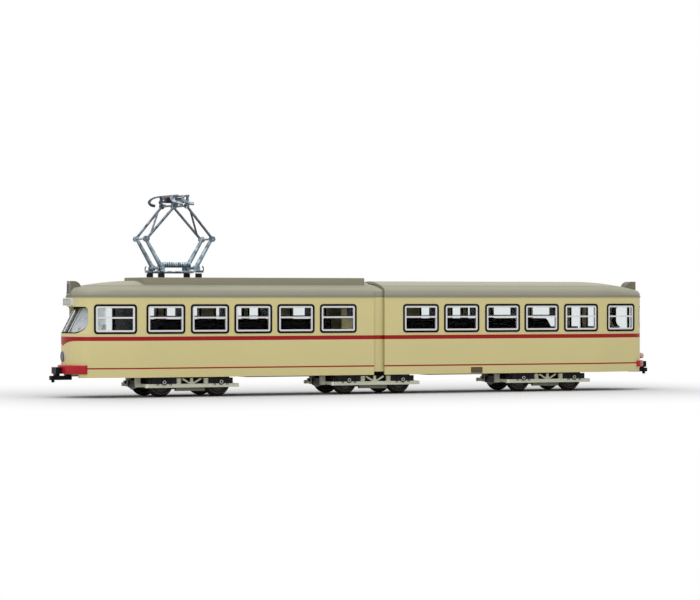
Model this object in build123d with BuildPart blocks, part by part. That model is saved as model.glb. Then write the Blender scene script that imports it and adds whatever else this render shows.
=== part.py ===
"""Model of a two-section articulated tram on three bogies, in millimetres.

The model stands on its wheel flanges at Z = 0 and travels towards -X.
X = 0 is the joint between the sections, over the middle bogie.
The photographed side, with windows only, faces -Y and the doors face +Y.
"""
import math
import os

from build123d import *

os.makedirs("parts", exist_ok=True)

# How far a cut runs past the surface it opens
PAST = 1.0

# Running gear
BACK_TO_BACK = 14.4
FLANGE_R = 5.05
FLANGE_T = 0.9
TREAD_R = 4.05
WHEEL_T = 2.8
DISC_T = 1.1
HUB_R = 1.5
HUB_STEP = 0.15
FLANGE_EDGE = 0.35
RIM_T = 0.75
AXLE_R = 0.75
JOURNAL_R = 0.5
JOURNAL_CLEARANCE = 0.05
JOURNAL_PLAY = 0.1
JOURNAL_END_Y = 11.1
WHEELBASE = 20.7
BOGIE_SPACING = 68.6
AXLE_Z = FLANGE_R

# Body plan
HALF_W = 13.5
WALL = 0.8
TAPER_X = 88.5
TAPER_R = 30.0
TAPER_SLOPE = 0.202
NOSE_X = 110.75
FRONT_JOINT_X = 1.3
REAR_JOINT_X = 2.9

# Noses: where the corner is, how far the middle reaches, radius of the corner
FRONT_NOSE = (105.8, NOSE_X, 5.2)
VISOR_NOSE = (104.9, 108.75, 3.6)
REAR_NOSE = (106.65, 111.6, 5.2)
REAR_EXTRA = REAR_NOSE[1] - NOSE_X
CHEEK_TOP_Z = 25.2

# Body heights
SKIRT_Z = 6.8
SILL_Z = 21.7
VISOR_Z = 30.7
GUTTER_Z = 33.8
CROWN_Z = 39.5
CROWN_R = 34.0
DOME_X = 85.0
DOME_R = 108.0
DOME_ARC = 18.0
SHOULDER_R = 2.0
ROOF_T = 0.8
GUTTER_LIP = 0.2
GUTTER_LIP_H = 0.5

# Windows: outer gasket size, with the gasket and frame as rings inside it
WINDOW_Z = 26.5
WINDOW_H = 10.05
WINDOW_R = 1.2
CORNER_SHARE = 0.8
GASKET_T = 0.7
GASKET_LIFT = 0.12
FRAME_T = 0.6
FRAME_LIFT = 0.06
TRANSOM_Z = 26.95
TRANSOM_T = 0.55
PANE_T = 0.4
PANE_DEPTH = 0.25

# Each window: distance of its centre from the joint, width
FRONT_WINDOWS = ((15.0, 14.0), (31.0, 14.0), (46.9, 14.0), (62.8, 14.0), (78.8, 14.0), (96.25, 14.6))
REAR_WINDOWS = ((16.9, 14.0), (32.9, 14.0), (49.2, 14.0), (65.0, 14.0), (81.1, 14.0), (98.75, 13.3))
FRONT_DOOR_SIDE_WINDOWS = ((15.0, 14.0), (62.8, 14.0), (78.8, 14.0))
REAR_DOOR_SIDE_WINDOWS = ((16.9, 14.0), (65.0, 14.0), (81.1, 14.0))

# Doors on the far side: distance of the centre from the joint, number of leaves
FRONT_DOORS = ((38.9, 4), (93.3, 2))
REAR_DOORS = ((41.0, 4), (96.4, 2))
LEAF_W = 6.3
LEAF_GROOVE = 0.3
LEAF_GROOVE_DEPTH = 0.3
LEAF_WINDOW_W = 4.9
LEAF_WINDOW_Z = 25.6
LEAF_WINDOW_H = 11.6
LEAF_WINDOW_R = 0.9
DOOR_FOOT_Z = 8.6
DOOR_HEAD_Z = 32.6

# Windscreen and rear window in the nose
SCREEN_RAKE = 4.8
SCREEN_HALF_W = 9.7
SCREEN_R = (3.2, 1.2)
SCREEN_GASKET_T = 0.4
SCREEN_T = 0.8
CHEEK_X = 101.5
REAR_SCREEN_HALF_W = 8.8
REAR_SCREEN_Z = (22.0, 30.6)
POST_Y = 3.6
POST_T = 0.45

# Destination display in the visor
DISPLAY_HALF_W = 4.2
DISPLAY_Z = (31.0, 33.6)
DISPLAY_TIP_X = 109.4
DISPLAY_R = 0.5

# Chassis
FLOOR_Z = 10.6
FLOOR_T = 0.9
SIDE_GAP = 0.25
TRAY_Z = 6.5
TRAY_HALF_W = 12.3
TRAY_NEAR_X = 20.0
TRAY_FAR_X = 48.6
END_TRAY_X = 88.0
END_TRAY_Z = 8.2

# Masses and furniture seen through the windows
BLOCK_HALF_W = 8.5
BLOCK_TOP_Z = 26.3
FRONT_BLOCK_X = (15.5, 81.5)
REAR_BLOCK_X = (15.5, 73.0)
BLOCK_SLANT = (5.5, 3.2)
BLOCK_EDGE_R = 1.2
SEAT_W = 7.6
SEAT_START_X = 78.6
SEAT_PITCH = 8.0
SEAT_ROWS = 3
SEAT_OUTER_Y = 10.2
SEAT_BACK_T = 0.9
SEAT_BACK_Z = 23.2
SEAT_Z = 17.0
SEAT_D = 4.4
PARTITION_X = 87.2
PARTITION_T = 0.7
PARTITION_TOP_Z = 31.4
DESK_X = 101.5
DESK_Z = 20.4

# Joint between the sections
DRUM_CLEARANCE = 0.2
DRUM_R = HALF_W - WALL - DRUM_CLEARANCE
DRUM_T = 0.8
DRUM_BOTTOM_Z = 7.9
APRON_HALF_W = 4.0
DRUM_DOORWAY_W = 13.0
DRUM_DOORWAY_TOP_Z = 31.0
PLATE_GAP = 0.2
TONGUE_HALF_W = 7.5
TONGUE_TIP_X = -3.0
FLOOR_START_X = 10.5
RISER_X = (9.5, 11.3)
PIVOT_R = 1.5
PIVOT_CLEARANCE = 0.06
PIVOT_HEAD_R = 2.3
PIVOT_HEAD_T = 0.7

# Bogie frames
SIDE_BAR_Z = (3.25, 4.5)
SIDE_BAR_Y = (11.25, 12.25)
SIDE_BAR_HALF_L = 16.9
BOX_HALF_L = 4.3
BOX_TOP_Z = 6.45
BOX_INNER_Y = 10.35
CAP_R = 1.0
CAP_Y = 12.55
SPRING_X = 4.95
SPRING_R = 0.9
SPRING_WIRE_R = 0.22
SPRING_TURNS = 4
BOW_HALF_L = 5.3
BOW_Z = (2.0, 3.1)
BOW_Y = (8.6, 9.9)
BOLSTER_HALF_L = 3.2
BOLSTER_HALF_W = 9.0
BOLSTER_Z = (3.6, 6.45)
CENTRE_HALF_W = 5.5
CENTRE_TOP_Z = 10.35
BRAKE_POST_X = 2.5
BRAKE_POST_W = 0.8
END_BEAM_X = 16.0
END_BEAM_T = 0.9
END_BEAM_Z = (3.4, 4.5)
RIB_SHARE = (0.25, 0.75)
RIB_DEPTH = 1.5
GUARD_X = (16.2, 18.0)
GUARD_Y = 4.6
GUARD_Z = (3.3, 6.6)
GUARD_POST_W = 1.1
GUARD_TIP_Z = 2.3
GUARD_PLATE_Z = 5.5
GUARD_T = 0.5
KNOB_Z = 4.7
KNOB_R = 0.7
KNOB_L = 0.8
LINK_Y = 11.3
LINK_T = 0.6
LINK_REACH = 3.6
LINK_FOOT_HALF_W = 0.9

# Pantograph on the front section
PANTO_X = -70.7
ARM_Y = 4.4
FOOT_PIVOT_X = 6.2
FOOT_PIVOT_Z = 43.9
ELBOW_X = 12.0
ELBOW_Z = 53.8
TOP_PIVOT_X = 2.1
TOP_PIVOT_Z = 65.1
LOWER_TUBE_R = (0.8, 0.6)
FOOT_EYE_R = 0.9
UPPER_TUBE_R = 0.45
BRACE_R = 0.35
SHAFT_R = 0.55
STRIP_Z = 68.5
STRIP_X = 2.0
STRIP_HALF_L = 8.2
STRIP_W = 0.9
STRIP_T = 0.6
END_PLATE_W = 0.85
END_PLATE_GAP = 0.1
HORN_Y = 13.4
HORN_Z = 65.6
RAIL_Z = 42.5
RAIL_R = 0.45
BASE_HALF_L = 7.6
CROSS_TUBE_STEP = 1.5
FOOT_STEP = 0.8
TENSION_SPRING_R = 0.95
TENSION_SPRING_Z = 45.9
EYE_R = 0.95
EYE_T = 0.7
EYE_Y = 5.5
TOP_EYE_Y = 6.4
ELBOW_DISC_R = 1.0
ELBOW_DISC_T = 0.7
PIN_R = 0.35
PIN_END = 0.15
PIN_CLEARANCE = 0.05
OPEN_PIN_CLEARANCE = 0.25
LUG_Y = 5.6
LUG_T = 0.6
LUG_W = 2.2
BRACE_SHARE = 0.14
SPRING_ROW_Y = 2.2
SPRING_ANCHOR_X = 4.7
COIL_PITCH = 0.75
COIL_WIRE_R = 0.3
FOOT_R = 1.15

# Roof board under the pantograph
BOARD_X = (3.3, 85.3)
BOARD_HALF_W = 9.7
BOARD_TOP_Z = 40.6
BOARD_EDGE_R = 0.3

# Bumpers and couplers
BUMPER_DEPTH = 1.25
BUMPER_END_X = 0.7
BUMPER_END_DEPTH = 0.8
BUMPER_SLANT = 1.3
FRONT_BUMPER_Z = (8.1, 11.0)
REAR_BUMPER_Z = (8.5, 10.7)
BUMPER_EDGE_R = 0.45
COUPLER_TIP_X = 115.4
DRAWBAR_Z = (6.0, 7.4)
REAR_DRAWBAR_LIFT = 0.4
DRAWBAR_HALF_W = 1.1
DRAWBAR_END_R = 0.5
RISER_L = 1.6
COUPLER_PIN_R = 0.55
COUPLER_PIN_H = 0.8
COUPLER_PIN_X = 114.3
HEAD_X = (112.1, 114.0)
HEAD_Z = (8.1, 10.3)
HEAD_HALF_W = 2.4

# Lamps and number boxes
HEADLIGHT_Z = 13.9
HEADLIGHT_R = 1.8
HEADLIGHT_TIP_X = 111.2
LAMP_EDGE_R = 0.3
TAIL_LAMP_Y = 5.2
TAIL_LAMP_Z = 12.4
TAIL_LAMP_R = 0.9
FRONT_BOX_X = (104.9, 108.7)
FRONT_BOX_TOP_Z = 39.35
REAR_BOX_X = (106.4, 110.5)
REAR_BOX_TOP_Z = 39.6
BOX_HALF_W = 2.0
BOX_REAR_R = 2.6
NOTCH_X = 107.7
NOTCH_Z = 8.0
TAIL_LAMP_TIP_X = 111.75
DRAWBAR_ROOT_X = 107.8


def wall_y(x):
    """Half width of a section at a distance from the joint."""
    return HALF_W - max(0.0, x - TAPER_X) * TAPER_SLOPE


def plan(start_x, inset=0.0, nose=FRONT_NOSE):
    """Outline of one section seen from above, from start_x to the nose towards +X."""
    corner_x, nose_x, corner_r = nose
    corner_y = wall_y(corner_x)
    with BuildSketch() as outline:
        with BuildLine():
            Polyline(
                (corner_x, -corner_y),
                (TAPER_X, -HALF_W),
                (-HALF_W, -HALF_W),
                (-HALF_W, HALF_W),
                (TAPER_X, HALF_W),
                (corner_x, corner_y),
            )
            ThreePointArc((corner_x, corner_y), (nose_x, 0), (corner_x, -corner_y))
        make_face()
        corners = outline.vertices().filter_by(lambda v: abs(v.X - corner_x) < 0.01)
        fillet(corners, radius=corner_r)
        shoulders = outline.vertices().filter_by(lambda v: abs(v.X - TAPER_X) < 0.01)
        fillet(shoulders, radius=TAPER_R)
        if inset:
            offset(amount=-inset, kind=Kind.INTERSECTION, mode=Mode.REPLACE)
        with Locations((start_x, 0)):
            Rectangle(2 * NOSE_X, 4 * HALF_W, align=(Align.MIN, Align.CENTER), mode=Mode.INTERSECT)
    return outline.sketch


def wall_plane(x, side, z=WINDOW_Z):
    """Plane on the outer side wall, its normal pointing out, its x axis along the wall."""
    slope = math.atan(TAPER_SLOPE) if x > TAPER_X else 0.0
    y = wall_y(x)
    normal = (math.sin(slope), side * math.cos(slope), 0)
    along = (math.cos(slope), -side * math.sin(slope), 0)
    return Plane(origin=(x, side * y, z), x_dir=along, z_dir=normal)


def leaves(doors):
    """Centre of each door leaf, at equal steps along its doorway."""
    return [
        x + (i - (count - 1) / 2) * LEAF_W
        for x, count in doors
        for i in range(count)
    ]


def window_blocks(windows, side, inset, lift, depth):
    """Rounded blocks through the wall, one for each window."""
    with BuildPart() as blocks:
        for x, width in windows:
            with BuildSketch(wall_plane(x, side).offset(lift)):
                RectangleRounded(
                    width - 2 * inset, WINDOW_H - 2 * inset, WINDOW_R - CORNER_SHARE * inset
                )
            extrude(amount=-depth - lift)
    return blocks.part


def leaf_blocks(doors, inset, lift, depth):
    """Rounded blocks through the door side wall, one for each leaf's window."""
    with BuildPart() as blocks:
        for x in leaves(doors):
            with BuildSketch(wall_plane(x, 1, LEAF_WINDOW_Z).offset(lift)):
                RectangleRounded(
                    LEAF_WINDOW_W - 2 * inset, LEAF_WINDOW_H - 2 * inset,
                    LEAF_WINDOW_R - CORNER_SHARE * inset,
                )
            extrude(amount=-depth - lift)
    return blocks.part


def all_blocks(windows, far_windows, doors, inset, lift, depth):
    """Every side window and door window of one section."""
    with BuildPart() as blocks:
        add(window_blocks(windows, -1, inset, lift, depth))
        add(window_blocks(far_windows, 1, inset, lift, depth))
        add(leaf_blocks(doors, inset, lift, depth))
    return blocks.part


def screen_opening(half_w, z_range, inset):
    """Prism along X with the outline of a nose window seen from ahead."""
    low, high = z_range[0] + inset, z_range[1] - inset
    with BuildPart() as opening:
        with BuildSketch(Plane.YZ.offset(CHEEK_X)) as outline:
            with Locations((0, (low + high) / 2)):
                Rectangle(2 * (half_w - inset), high - low)
            for corners, radius in zip((0, -1), SCREEN_R):
                fillet(outline.vertices().group_by(Axis.Y)[corners], radius=radius - inset)
        extrude(amount=NOSE_X - CHEEK_X + 2 * PAST)
    return opening.part


def screen_slab(rake, z_range, thickness, nose):
    """Curved slab that leans back from the sill by the rake."""
    low, high = z_range
    height = high - low
    lean = Vector(-rake, 0, height)
    with BuildPart() as slab:
        with BuildSketch(Plane.XY.offset(low)):
            add(plan(TAPER_X, 0, nose))
        extrude(amount=lean.length, dir=lean.normalized())
        with BuildSketch(Plane.XY.offset(low)):
            add(plan(TAPER_X, thickness, nose))
        extrude(amount=lean.length, dir=lean.normalized(), mode=Mode.SUBTRACT)
    return slab.part


def destination_display():
    """Blank box on the visor, its back following the visor's curve."""
    with BuildPart() as pane:
        with BuildSketch(Plane.YZ.offset(TAPER_X)):
            with Locations((0, (DISPLAY_Z[0] + DISPLAY_Z[1]) / 2)):
                RectangleRounded(2 * DISPLAY_HALF_W, DISPLAY_Z[1] - DISPLAY_Z[0], DISPLAY_R)
        extrude(amount=DISPLAY_TIP_X - TAPER_X)
        add(body_block(*DISPLAY_Z, VISOR_NOSE), mode=Mode.SUBTRACT)
    return pane.part


def front_body(inset):
    """Filled front section: full nose up to the sill, set back from there to the visor."""
    with BuildPart() as body:
        with BuildSketch(Plane.XY.offset(SKIRT_Z)):
            add(plan(FRONT_JOINT_X, inset))
        extrude(amount=SILL_Z - SKIRT_Z)
        with BuildSketch(Plane.XY.offset(SILL_Z)):
            add(plan(FRONT_JOINT_X, inset))
        with BuildSketch(Plane.XY.offset(CHEEK_TOP_Z)):
            add(plan(FRONT_JOINT_X, inset, VISOR_NOSE))
        loft(ruled=True)
        with BuildSketch(Plane.XY.offset(CHEEK_TOP_Z)):
            add(plan(FRONT_JOINT_X, inset, VISOR_NOSE))
        extrude(amount=GUTTER_Z - CHEEK_TOP_Z)
    return body.part


def rear_body(inset):
    """Filled rear section with an upright nose."""
    with BuildPart() as body:
        with BuildSketch(Plane.XY.offset(SKIRT_Z)):
            add(plan(REAR_JOINT_X, inset, REAR_NOSE))
        extrude(amount=GUTTER_Z - SKIRT_Z)
    return body.part


def section_shell(body, windows, far_windows, doors, half_w, z_range, notch_x):
    """Thin side walls and nose of one section, open below and above and at the joint."""
    with BuildPart() as shell:
        add(body(0))
        add(body(WALL), mode=Mode.SUBTRACT)
        add(screen_opening(half_w, z_range, 0), mode=Mode.SUBTRACT)
        with Locations((notch_x, 0, SKIRT_Z)):
            Box(
                NOSE_X, 4 * HALF_W, 2 * (NOTCH_Z - SKIRT_Z),
                align=(Align.MIN, Align.CENTER, Align.CENTER), mode=Mode.SUBTRACT,
            )
        for x in leaves(doors):
            for edge in (-LEAF_W / 2, LEAF_W / 2):
                with BuildSketch(wall_plane(x + edge, 1, (DOOR_FOOT_Z + DOOR_HEAD_Z) / 2)):
                    Rectangle(LEAF_GROOVE, DOOR_HEAD_Z - DOOR_FOOT_Z)
                extrude(amount=-LEAF_GROOVE_DEPTH, mode=Mode.SUBTRACT)
        add(all_blocks(windows, far_windows, doors, 0, PAST, WALL + PAST), mode=Mode.SUBTRACT)
    return shell.part


def roof_volume(joint_x, inset, nose):
    """Filled roof: flat-arched crown, domed towards the nose, with round shoulders."""
    low_z = GUTTER_Z - SHOULDER_R
    crown = CROWN_Z - inset
    wide = HALF_W + SHOULDER_R
    drop = CROWN_R - math.sqrt(CROWN_R ** 2 - wide ** 2)
    with BuildPart() as cap:
        with BuildSketch(Plane.YZ.offset(joint_x)) as section:
            with BuildLine():
                Polyline((wide, crown - drop), (wide, low_z), (-wide, low_z), (-wide, crown - drop))
                ThreePointArc((-wide, crown - drop), (0, crown), (wide, crown - drop))
            make_face()
        extrude(amount=DOME_X - joint_x)
        bend = Axis((DOME_X, 0, CROWN_Z - DOME_R), (0, 1, 0))
        with BuildSketch(Plane.YZ.offset(DOME_X)):
            add(section.sketch_local)
        revolve(axis=bend, revolution_arc=DOME_ARC)
    with BuildPart() as roof:
        with BuildSketch(Plane.XY.offset(low_z)):
            add(plan(joint_x, inset, nose))
        extrude(amount=CROWN_Z - low_z + PAST)
        add(cap.part, mode=Mode.INTERSECT)
        rim = roof.edges().filter_by(
            lambda e: e.bounding_box().min.Z > GUTTER_Z and e.bounding_box().max.X > joint_x + PAST
        )
        rim = rim.filter_by(lambda e: abs(e.center().Y) > PAST or e.bounding_box().min.X > TAPER_X)
        fillet(rim, radius=SHOULDER_R - inset)
        with Locations((NOSE_X / 2, 0, GUTTER_Z)):
            Box(
                2 * NOSE_X, 4 * HALF_W, 2 * SHOULDER_R,
                align=(Align.CENTER, Align.CENTER, Align.MAX), mode=Mode.SUBTRACT,
            )
    return roof.part


def section_roof(joint_x, box_x, nose):
    """Roof shell with its gutter lip, notched in the nose for the number box."""
    with BuildPart() as roof:
        add(roof_volume(joint_x, 0, nose))
        with BuildSketch(Plane.XY.offset(GUTTER_Z)):
            add(plan(joint_x, -GUTTER_LIP, nose))
        extrude(amount=GUTTER_LIP_H)
        add(roof_volume(joint_x, ROOF_T, nose), mode=Mode.SUBTRACT)
        with Locations((box_x[0], 0, GUTTER_Z - PAST)):
            Box(
                NOSE_X, 2 * BOX_HALF_W, CROWN_Z,
                align=(Align.MIN, Align.CENTER, Align.MIN), mode=Mode.SUBTRACT,
            )
    return roof.part


def section_gaskets(windows, far_windows, doors, rake, half_w, z_range, nose):
    """Black rubber rings round every window of one section."""
    with BuildPart() as gaskets:
        add(all_blocks(windows, far_windows, doors, 0, GASKET_LIFT, WALL))
        add(
            all_blocks(windows, far_windows, doors, GASKET_T, GASKET_LIFT + PAST, WALL + PAST),
            mode=Mode.SUBTRACT,
        )
    with BuildPart() as screen_gasket:
        add(screen_slab(rake, z_range, SCREEN_T, nose))
        add(screen_opening(half_w, z_range, 0), mode=Mode.INTERSECT)
        add(screen_opening(half_w, z_range, SCREEN_GASKET_T), mode=Mode.SUBTRACT)
    with BuildPart() as both:
        add(gaskets.part)
        add(screen_gasket.part)
    return both.part


def screen_posts(rake, half_w, z_range, nose):
    """Two upright bars that divide a nose window."""
    with BuildPart() as bars:
        with Locations((NOSE_X, POST_Y, WINDOW_Z), (NOSE_X, -POST_Y, WINDOW_Z)):
            Box(4 * WINDOW_H, POST_T, 4 * WINDOW_H)
    with BuildPart() as posts:
        add(screen_slab(rake, z_range, SCREEN_T, nose))
        add(screen_opening(half_w, z_range, SCREEN_GASKET_T), mode=Mode.INTERSECT)
        add(bars.part, mode=Mode.INTERSECT)
    return posts.part


def section_frames(windows, far_windows, rake, half_w, z_range, nose):
    """Silver window frames with a bar across the upper part, and the windscreen posts."""
    with BuildPart() as frames:
        for side, table in ((-1, windows), (1, far_windows)):
            for x, width in table:
                opening_w = width - 2 * GASKET_T - 2 * FRAME_T
                with BuildSketch(wall_plane(x, side).offset(FRAME_LIFT)):
                    RectangleRounded(
                        width - 2 * GASKET_T, WINDOW_H - 2 * GASKET_T,
                        WINDOW_R - CORNER_SHARE * GASKET_T,
                    )
                    Rectangle(opening_w, WINDOW_H - 2 * GASKET_T - 2 * FRAME_T, mode=Mode.SUBTRACT)
                extrude(amount=-WALL - FRAME_LIFT)
                with BuildSketch(wall_plane(x, side, TRANSOM_Z)):
                    Rectangle(opening_w, TRANSOM_T)
                extrude(amount=-PANE_DEPTH)
    with BuildPart() as both:
        add(frames.part)
        add(screen_posts(rake, half_w, z_range, nose))
    return both.part


def section_glazing(windows, far_windows, doors, rake, half_w, z_range, nose):
    """Clear panes of one section."""
    ring = GASKET_T + FRAME_T
    with BuildPart() as panes:
        for side, table in ((-1, windows), (1, far_windows)):
            for x, width in table:
                with BuildSketch(wall_plane(x, side).offset(-PANE_DEPTH)):
                    Rectangle(width - 2 * ring, WINDOW_H - 2 * ring)
                extrude(amount=-PANE_T)
        add(leaf_blocks(doors, GASKET_T, -PANE_DEPTH, PANE_DEPTH + PANE_T))
    with BuildPart() as screen:
        add(screen_slab(rake, z_range, SCREEN_T, nose))
        add(screen_opening(half_w, z_range, SCREEN_GASKET_T), mode=Mode.INTERSECT)
        add(screen_posts(rake, half_w, z_range, nose), mode=Mode.SUBTRACT)
    with BuildPart() as both:
        add(panes.part)
        add(screen.part)
    return both.part


def pivot(x, top_z):
    """Headed pin that hangs from the floor and holds a bogie's bolster."""
    head_top = BOLSTER_Z[0] - PLATE_GAP
    with BuildPart() as pin:
        with Locations((x, 0, head_top)):
            Cylinder(PIVOT_R, top_z - head_top, align=(Align.CENTER, Align.CENTER, Align.MIN))
            Cylinder(PIVOT_HEAD_R, PIVOT_HEAD_T, align=(Align.CENTER, Align.CENTER, Align.MAX))
    return pin.part


def section_chassis(nose):
    """Floor of one section, with its underframe trays and the pivot of the end bogie."""
    inset = WALL + SIDE_GAP
    with BuildPart() as chassis:
        with BuildSketch(Plane.XY.offset(FLOOR_Z)):
            add(plan(FLOOR_START_X, inset, nose))
        extrude(amount=FLOOR_T)
        with BuildSketch(Plane.XY.offset(TRAY_Z)):
            with Locations(((TRAY_NEAR_X + TRAY_FAR_X) / 2, 0)):
                Rectangle(TRAY_FAR_X - TRAY_NEAR_X, 2 * TRAY_HALF_W)
        extrude(amount=FLOOR_Z - TRAY_Z)
        with BuildSketch(Plane.XY.offset(END_TRAY_Z)):
            add(plan(END_TRAY_X, inset, nose))
        extrude(amount=FLOOR_Z - END_TRAY_Z)
        add(pivot(BOGIE_SPACING, FLOOR_Z))
    return chassis.part


def coupler(lift):
    """Bar under the bumper with a pin at its tip, and the coupler head above it."""
    low_z, high_z = DRAWBAR_Z[0] + lift, DRAWBAR_Z[1] + lift
    with BuildPart() as hook:
        with BuildSketch(Plane.XY.offset(low_z)):
            with Locations(((DRAWBAR_ROOT_X + COUPLER_TIP_X) / 2, 0)):
                RectangleRounded(COUPLER_TIP_X - DRAWBAR_ROOT_X, 2 * DRAWBAR_HALF_W, DRAWBAR_END_R)
        extrude(amount=high_z - low_z)
        with Locations((DRAWBAR_ROOT_X + DRAWBAR_END_R, 0, high_z)):
            Box(
                RISER_L, 2 * DRAWBAR_HALF_W, END_TRAY_Z - high_z,
                align=(Align.MIN, Align.CENTER, Align.MIN),
            )
        with Locations((COUPLER_PIN_X, 0, low_z)):
            Cylinder(COUPLER_PIN_R, COUPLER_PIN_H, align=(Align.CENTER, Align.CENTER, Align.MAX))
        with Locations(((HEAD_X[0] + HEAD_X[1]) / 2, 0, high_z)):
            Box(
                RISER_L, 2 * DRAWBAR_HALF_W, HEAD_Z[0] - high_z,
                align=(Align.CENTER, Align.CENTER, Align.MIN),
            )
        with Locations(((HEAD_X[0] + HEAD_X[1]) / 2, 0, HEAD_Z[0])):
            Box(
                HEAD_X[1] - HEAD_X[0], 2 * HEAD_HALF_W, HEAD_Z[1] - HEAD_Z[0],
                align=(Align.CENTER, Align.CENTER, Align.MIN),
            )
    return hook.part


def body_block(low_z, high_z, nose):
    """Filled body outline near the nose, for trimming what sits on it."""
    with BuildPart() as block:
        with BuildSketch(Plane.XY.offset(low_z)):
            add(plan(0, 0, nose))
        extrude(amount=high_z - low_z)
    return block.part


def bumper(nose, z_range):
    """Crescent-shaped beam round the nose, slanted back into the walls at its ends."""
    end_x = nose[0] + BUMPER_END_X
    end_y = wall_y(nose[0]) + BUMPER_END_DEPTH
    root_x = end_x - BUMPER_SLANT
    root_y = wall_y(root_x) - WALL / 2
    with BuildPart() as beam:
        with BuildSketch(Plane.XY.offset(z_range[0])):
            with BuildLine():
                ThreePointArc((end_x, -end_y), (nose[1] + BUMPER_DEPTH, 0), (end_x, end_y))
                Polyline((end_x, end_y), (root_x, root_y), (root_x, -root_y), (end_x, -end_y))
            make_face()
        extrude(amount=z_range[1] - z_range[0])
        tip = beam.faces().sort_by(Axis.X)[-1]
        fillet(tip.edges().filter_by(GeomType.CIRCLE), radius=BUMPER_EDGE_R)
        add(body_block(SKIRT_Z, SILL_Z, nose), mode=Mode.SUBTRACT)
    return beam.part


def lamp(y, z, radius, tip_x, nose):
    """Round lamp on the nose, its back following the curve of the body."""
    with BuildPart() as body:
        with BuildSketch(Plane.YZ.offset(TAPER_X)):
            with Locations((y, z)):
                Circle(radius)
        extrude(amount=tip_x - TAPER_X)
        add(body_block(SKIRT_Z, SILL_Z, nose), mode=Mode.SUBTRACT)
        outer = body.edges().filter_by(GeomType.CIRCLE).sort_by(Axis.X)[-1]
        fillet(outer, radius=LAMP_EDGE_R)
    return body.part


def number_box(x_range, top_z):
    """Square lamp box on the roof's nose, rounded down behind."""
    with BuildPart() as box:
        with BuildSketch(Plane.XZ.offset(-BOX_HALF_W)) as side_view:
            with BuildLine():
                Polyline(
                    (x_range[0], GUTTER_Z), (x_range[1], GUTTER_Z),
                    (x_range[1], top_z), (x_range[0], top_z), close=True,
                )
            make_face()
            rear_top = side_view.vertices().sort_by(Axis.X)[:2].sort_by(Axis.Y)[-1]
            fillet(rear_top, radius=BOX_REAR_R)
        extrude(amount=2 * BOX_HALF_W)
    return box.part


def block(x_range):
    """Weight and drive under the black seat moulding, as one plain mass."""
    with BuildPart() as mass:
        with BuildSketch(Plane.XY.offset(FLOOR_Z + FLOOR_T)):
            with Locations(((x_range[0] + x_range[1]) / 2, 0)):
                Rectangle(x_range[1] - x_range[0], 2 * BLOCK_HALF_W)
        extrude(amount=BLOCK_TOP_Z - FLOOR_Z - FLOOR_T)
        end = mass.edges().filter_by(Axis.Y).group_by(Axis.Z)[-1].sort_by(Axis.X)[-1]
        chamfer(end, length=BLOCK_SLANT[0], length2=BLOCK_SLANT[1])
        fillet(mass.edges().filter_by(Axis.X).group_by(Axis.Z)[-1], radius=BLOCK_EDGE_R)
    return mass.part


def seat_rows(centres):
    """Benches of the end room: seat pedestal, cushion and back for each row and side."""
    floor = FLOOR_Z + FLOOR_T
    with BuildPart() as seats:
        for x in centres:
            for side in (-1, 1):
                y = side * (SEAT_OUTER_Y - SEAT_W / 2)
                with Locations((x, y, floor)):
                    Box(SEAT_D, SEAT_W, SEAT_Z - floor, align=(Align.CENTER, Align.CENTER, Align.MIN))
                with Locations((x + SEAT_D / 2 - SEAT_BACK_T / 2, y, SEAT_Z)):
                    Box(
                        SEAT_BACK_T, SEAT_W, SEAT_BACK_Z - SEAT_Z,
                        align=(Align.CENTER, Align.CENTER, Align.MIN),
                    )
    return seats.part


def wheelset(x):
    """Axle with two flanged wheels and a journal at each end, as one turned piece."""
    inner = BACK_TO_BACK / 2
    outer = inner + WHEEL_T
    rim_r = TREAD_R - RIM_T
    web_in = inner + FLANGE_T
    web_out = web_in + DISC_T
    half = (
        (AXLE_R, inner + HUB_STEP), (HUB_R, inner + HUB_STEP), (HUB_R, web_in),
        (rim_r, web_in), (rim_r, inner), (FLANGE_R - FLANGE_EDGE, inner),
        (FLANGE_R, inner + FLANGE_EDGE), (FLANGE_R, web_in - FLANGE_EDGE), (TREAD_R, web_in),
        (TREAD_R, outer), (rim_r, outer), (rim_r, web_out), (HUB_R, web_out),
        (HUB_R, outer + HUB_STEP), (JOURNAL_R, outer + HUB_STEP), (JOURNAL_R, JOURNAL_END_Y),
    )
    with BuildPart() as axle:
        with BuildSketch(Plane.XY):
            with BuildLine():
                points = [(r, y) for r, y in half] + [(0, JOURNAL_END_Y), (0, -JOURNAL_END_Y)]
                points += [(r, -y) for r, y in reversed(half)]
                Polyline(*points, close=True)
            make_face()
        revolve(axis=Axis.Y)
    return axle.part.moved(Location((x, 0, AXLE_Z)))


def coil(length, radius, wire_r, turns):
    """Close-wound spring along Z from the origin, as one turned piece with a rib per turn."""
    pitch = length / turns
    valley = radius - RIB_DEPTH * wire_r
    points = [(0, 0)]
    for turn in range(turns):
        foot = turn * pitch
        points += [
            (valley, foot), (radius, foot + RIB_SHARE[0] * pitch), (radius, foot + RIB_SHARE[1] * pitch),
        ]
    points += [(valley, length), (0, length)]
    with BuildPart() as spring:
        with BuildSketch(Plane.XZ):
            with BuildLine():
                Polyline(*points, close=True)
            make_face()
        revolve(axis=Axis.Z)
    return spring.part


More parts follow.
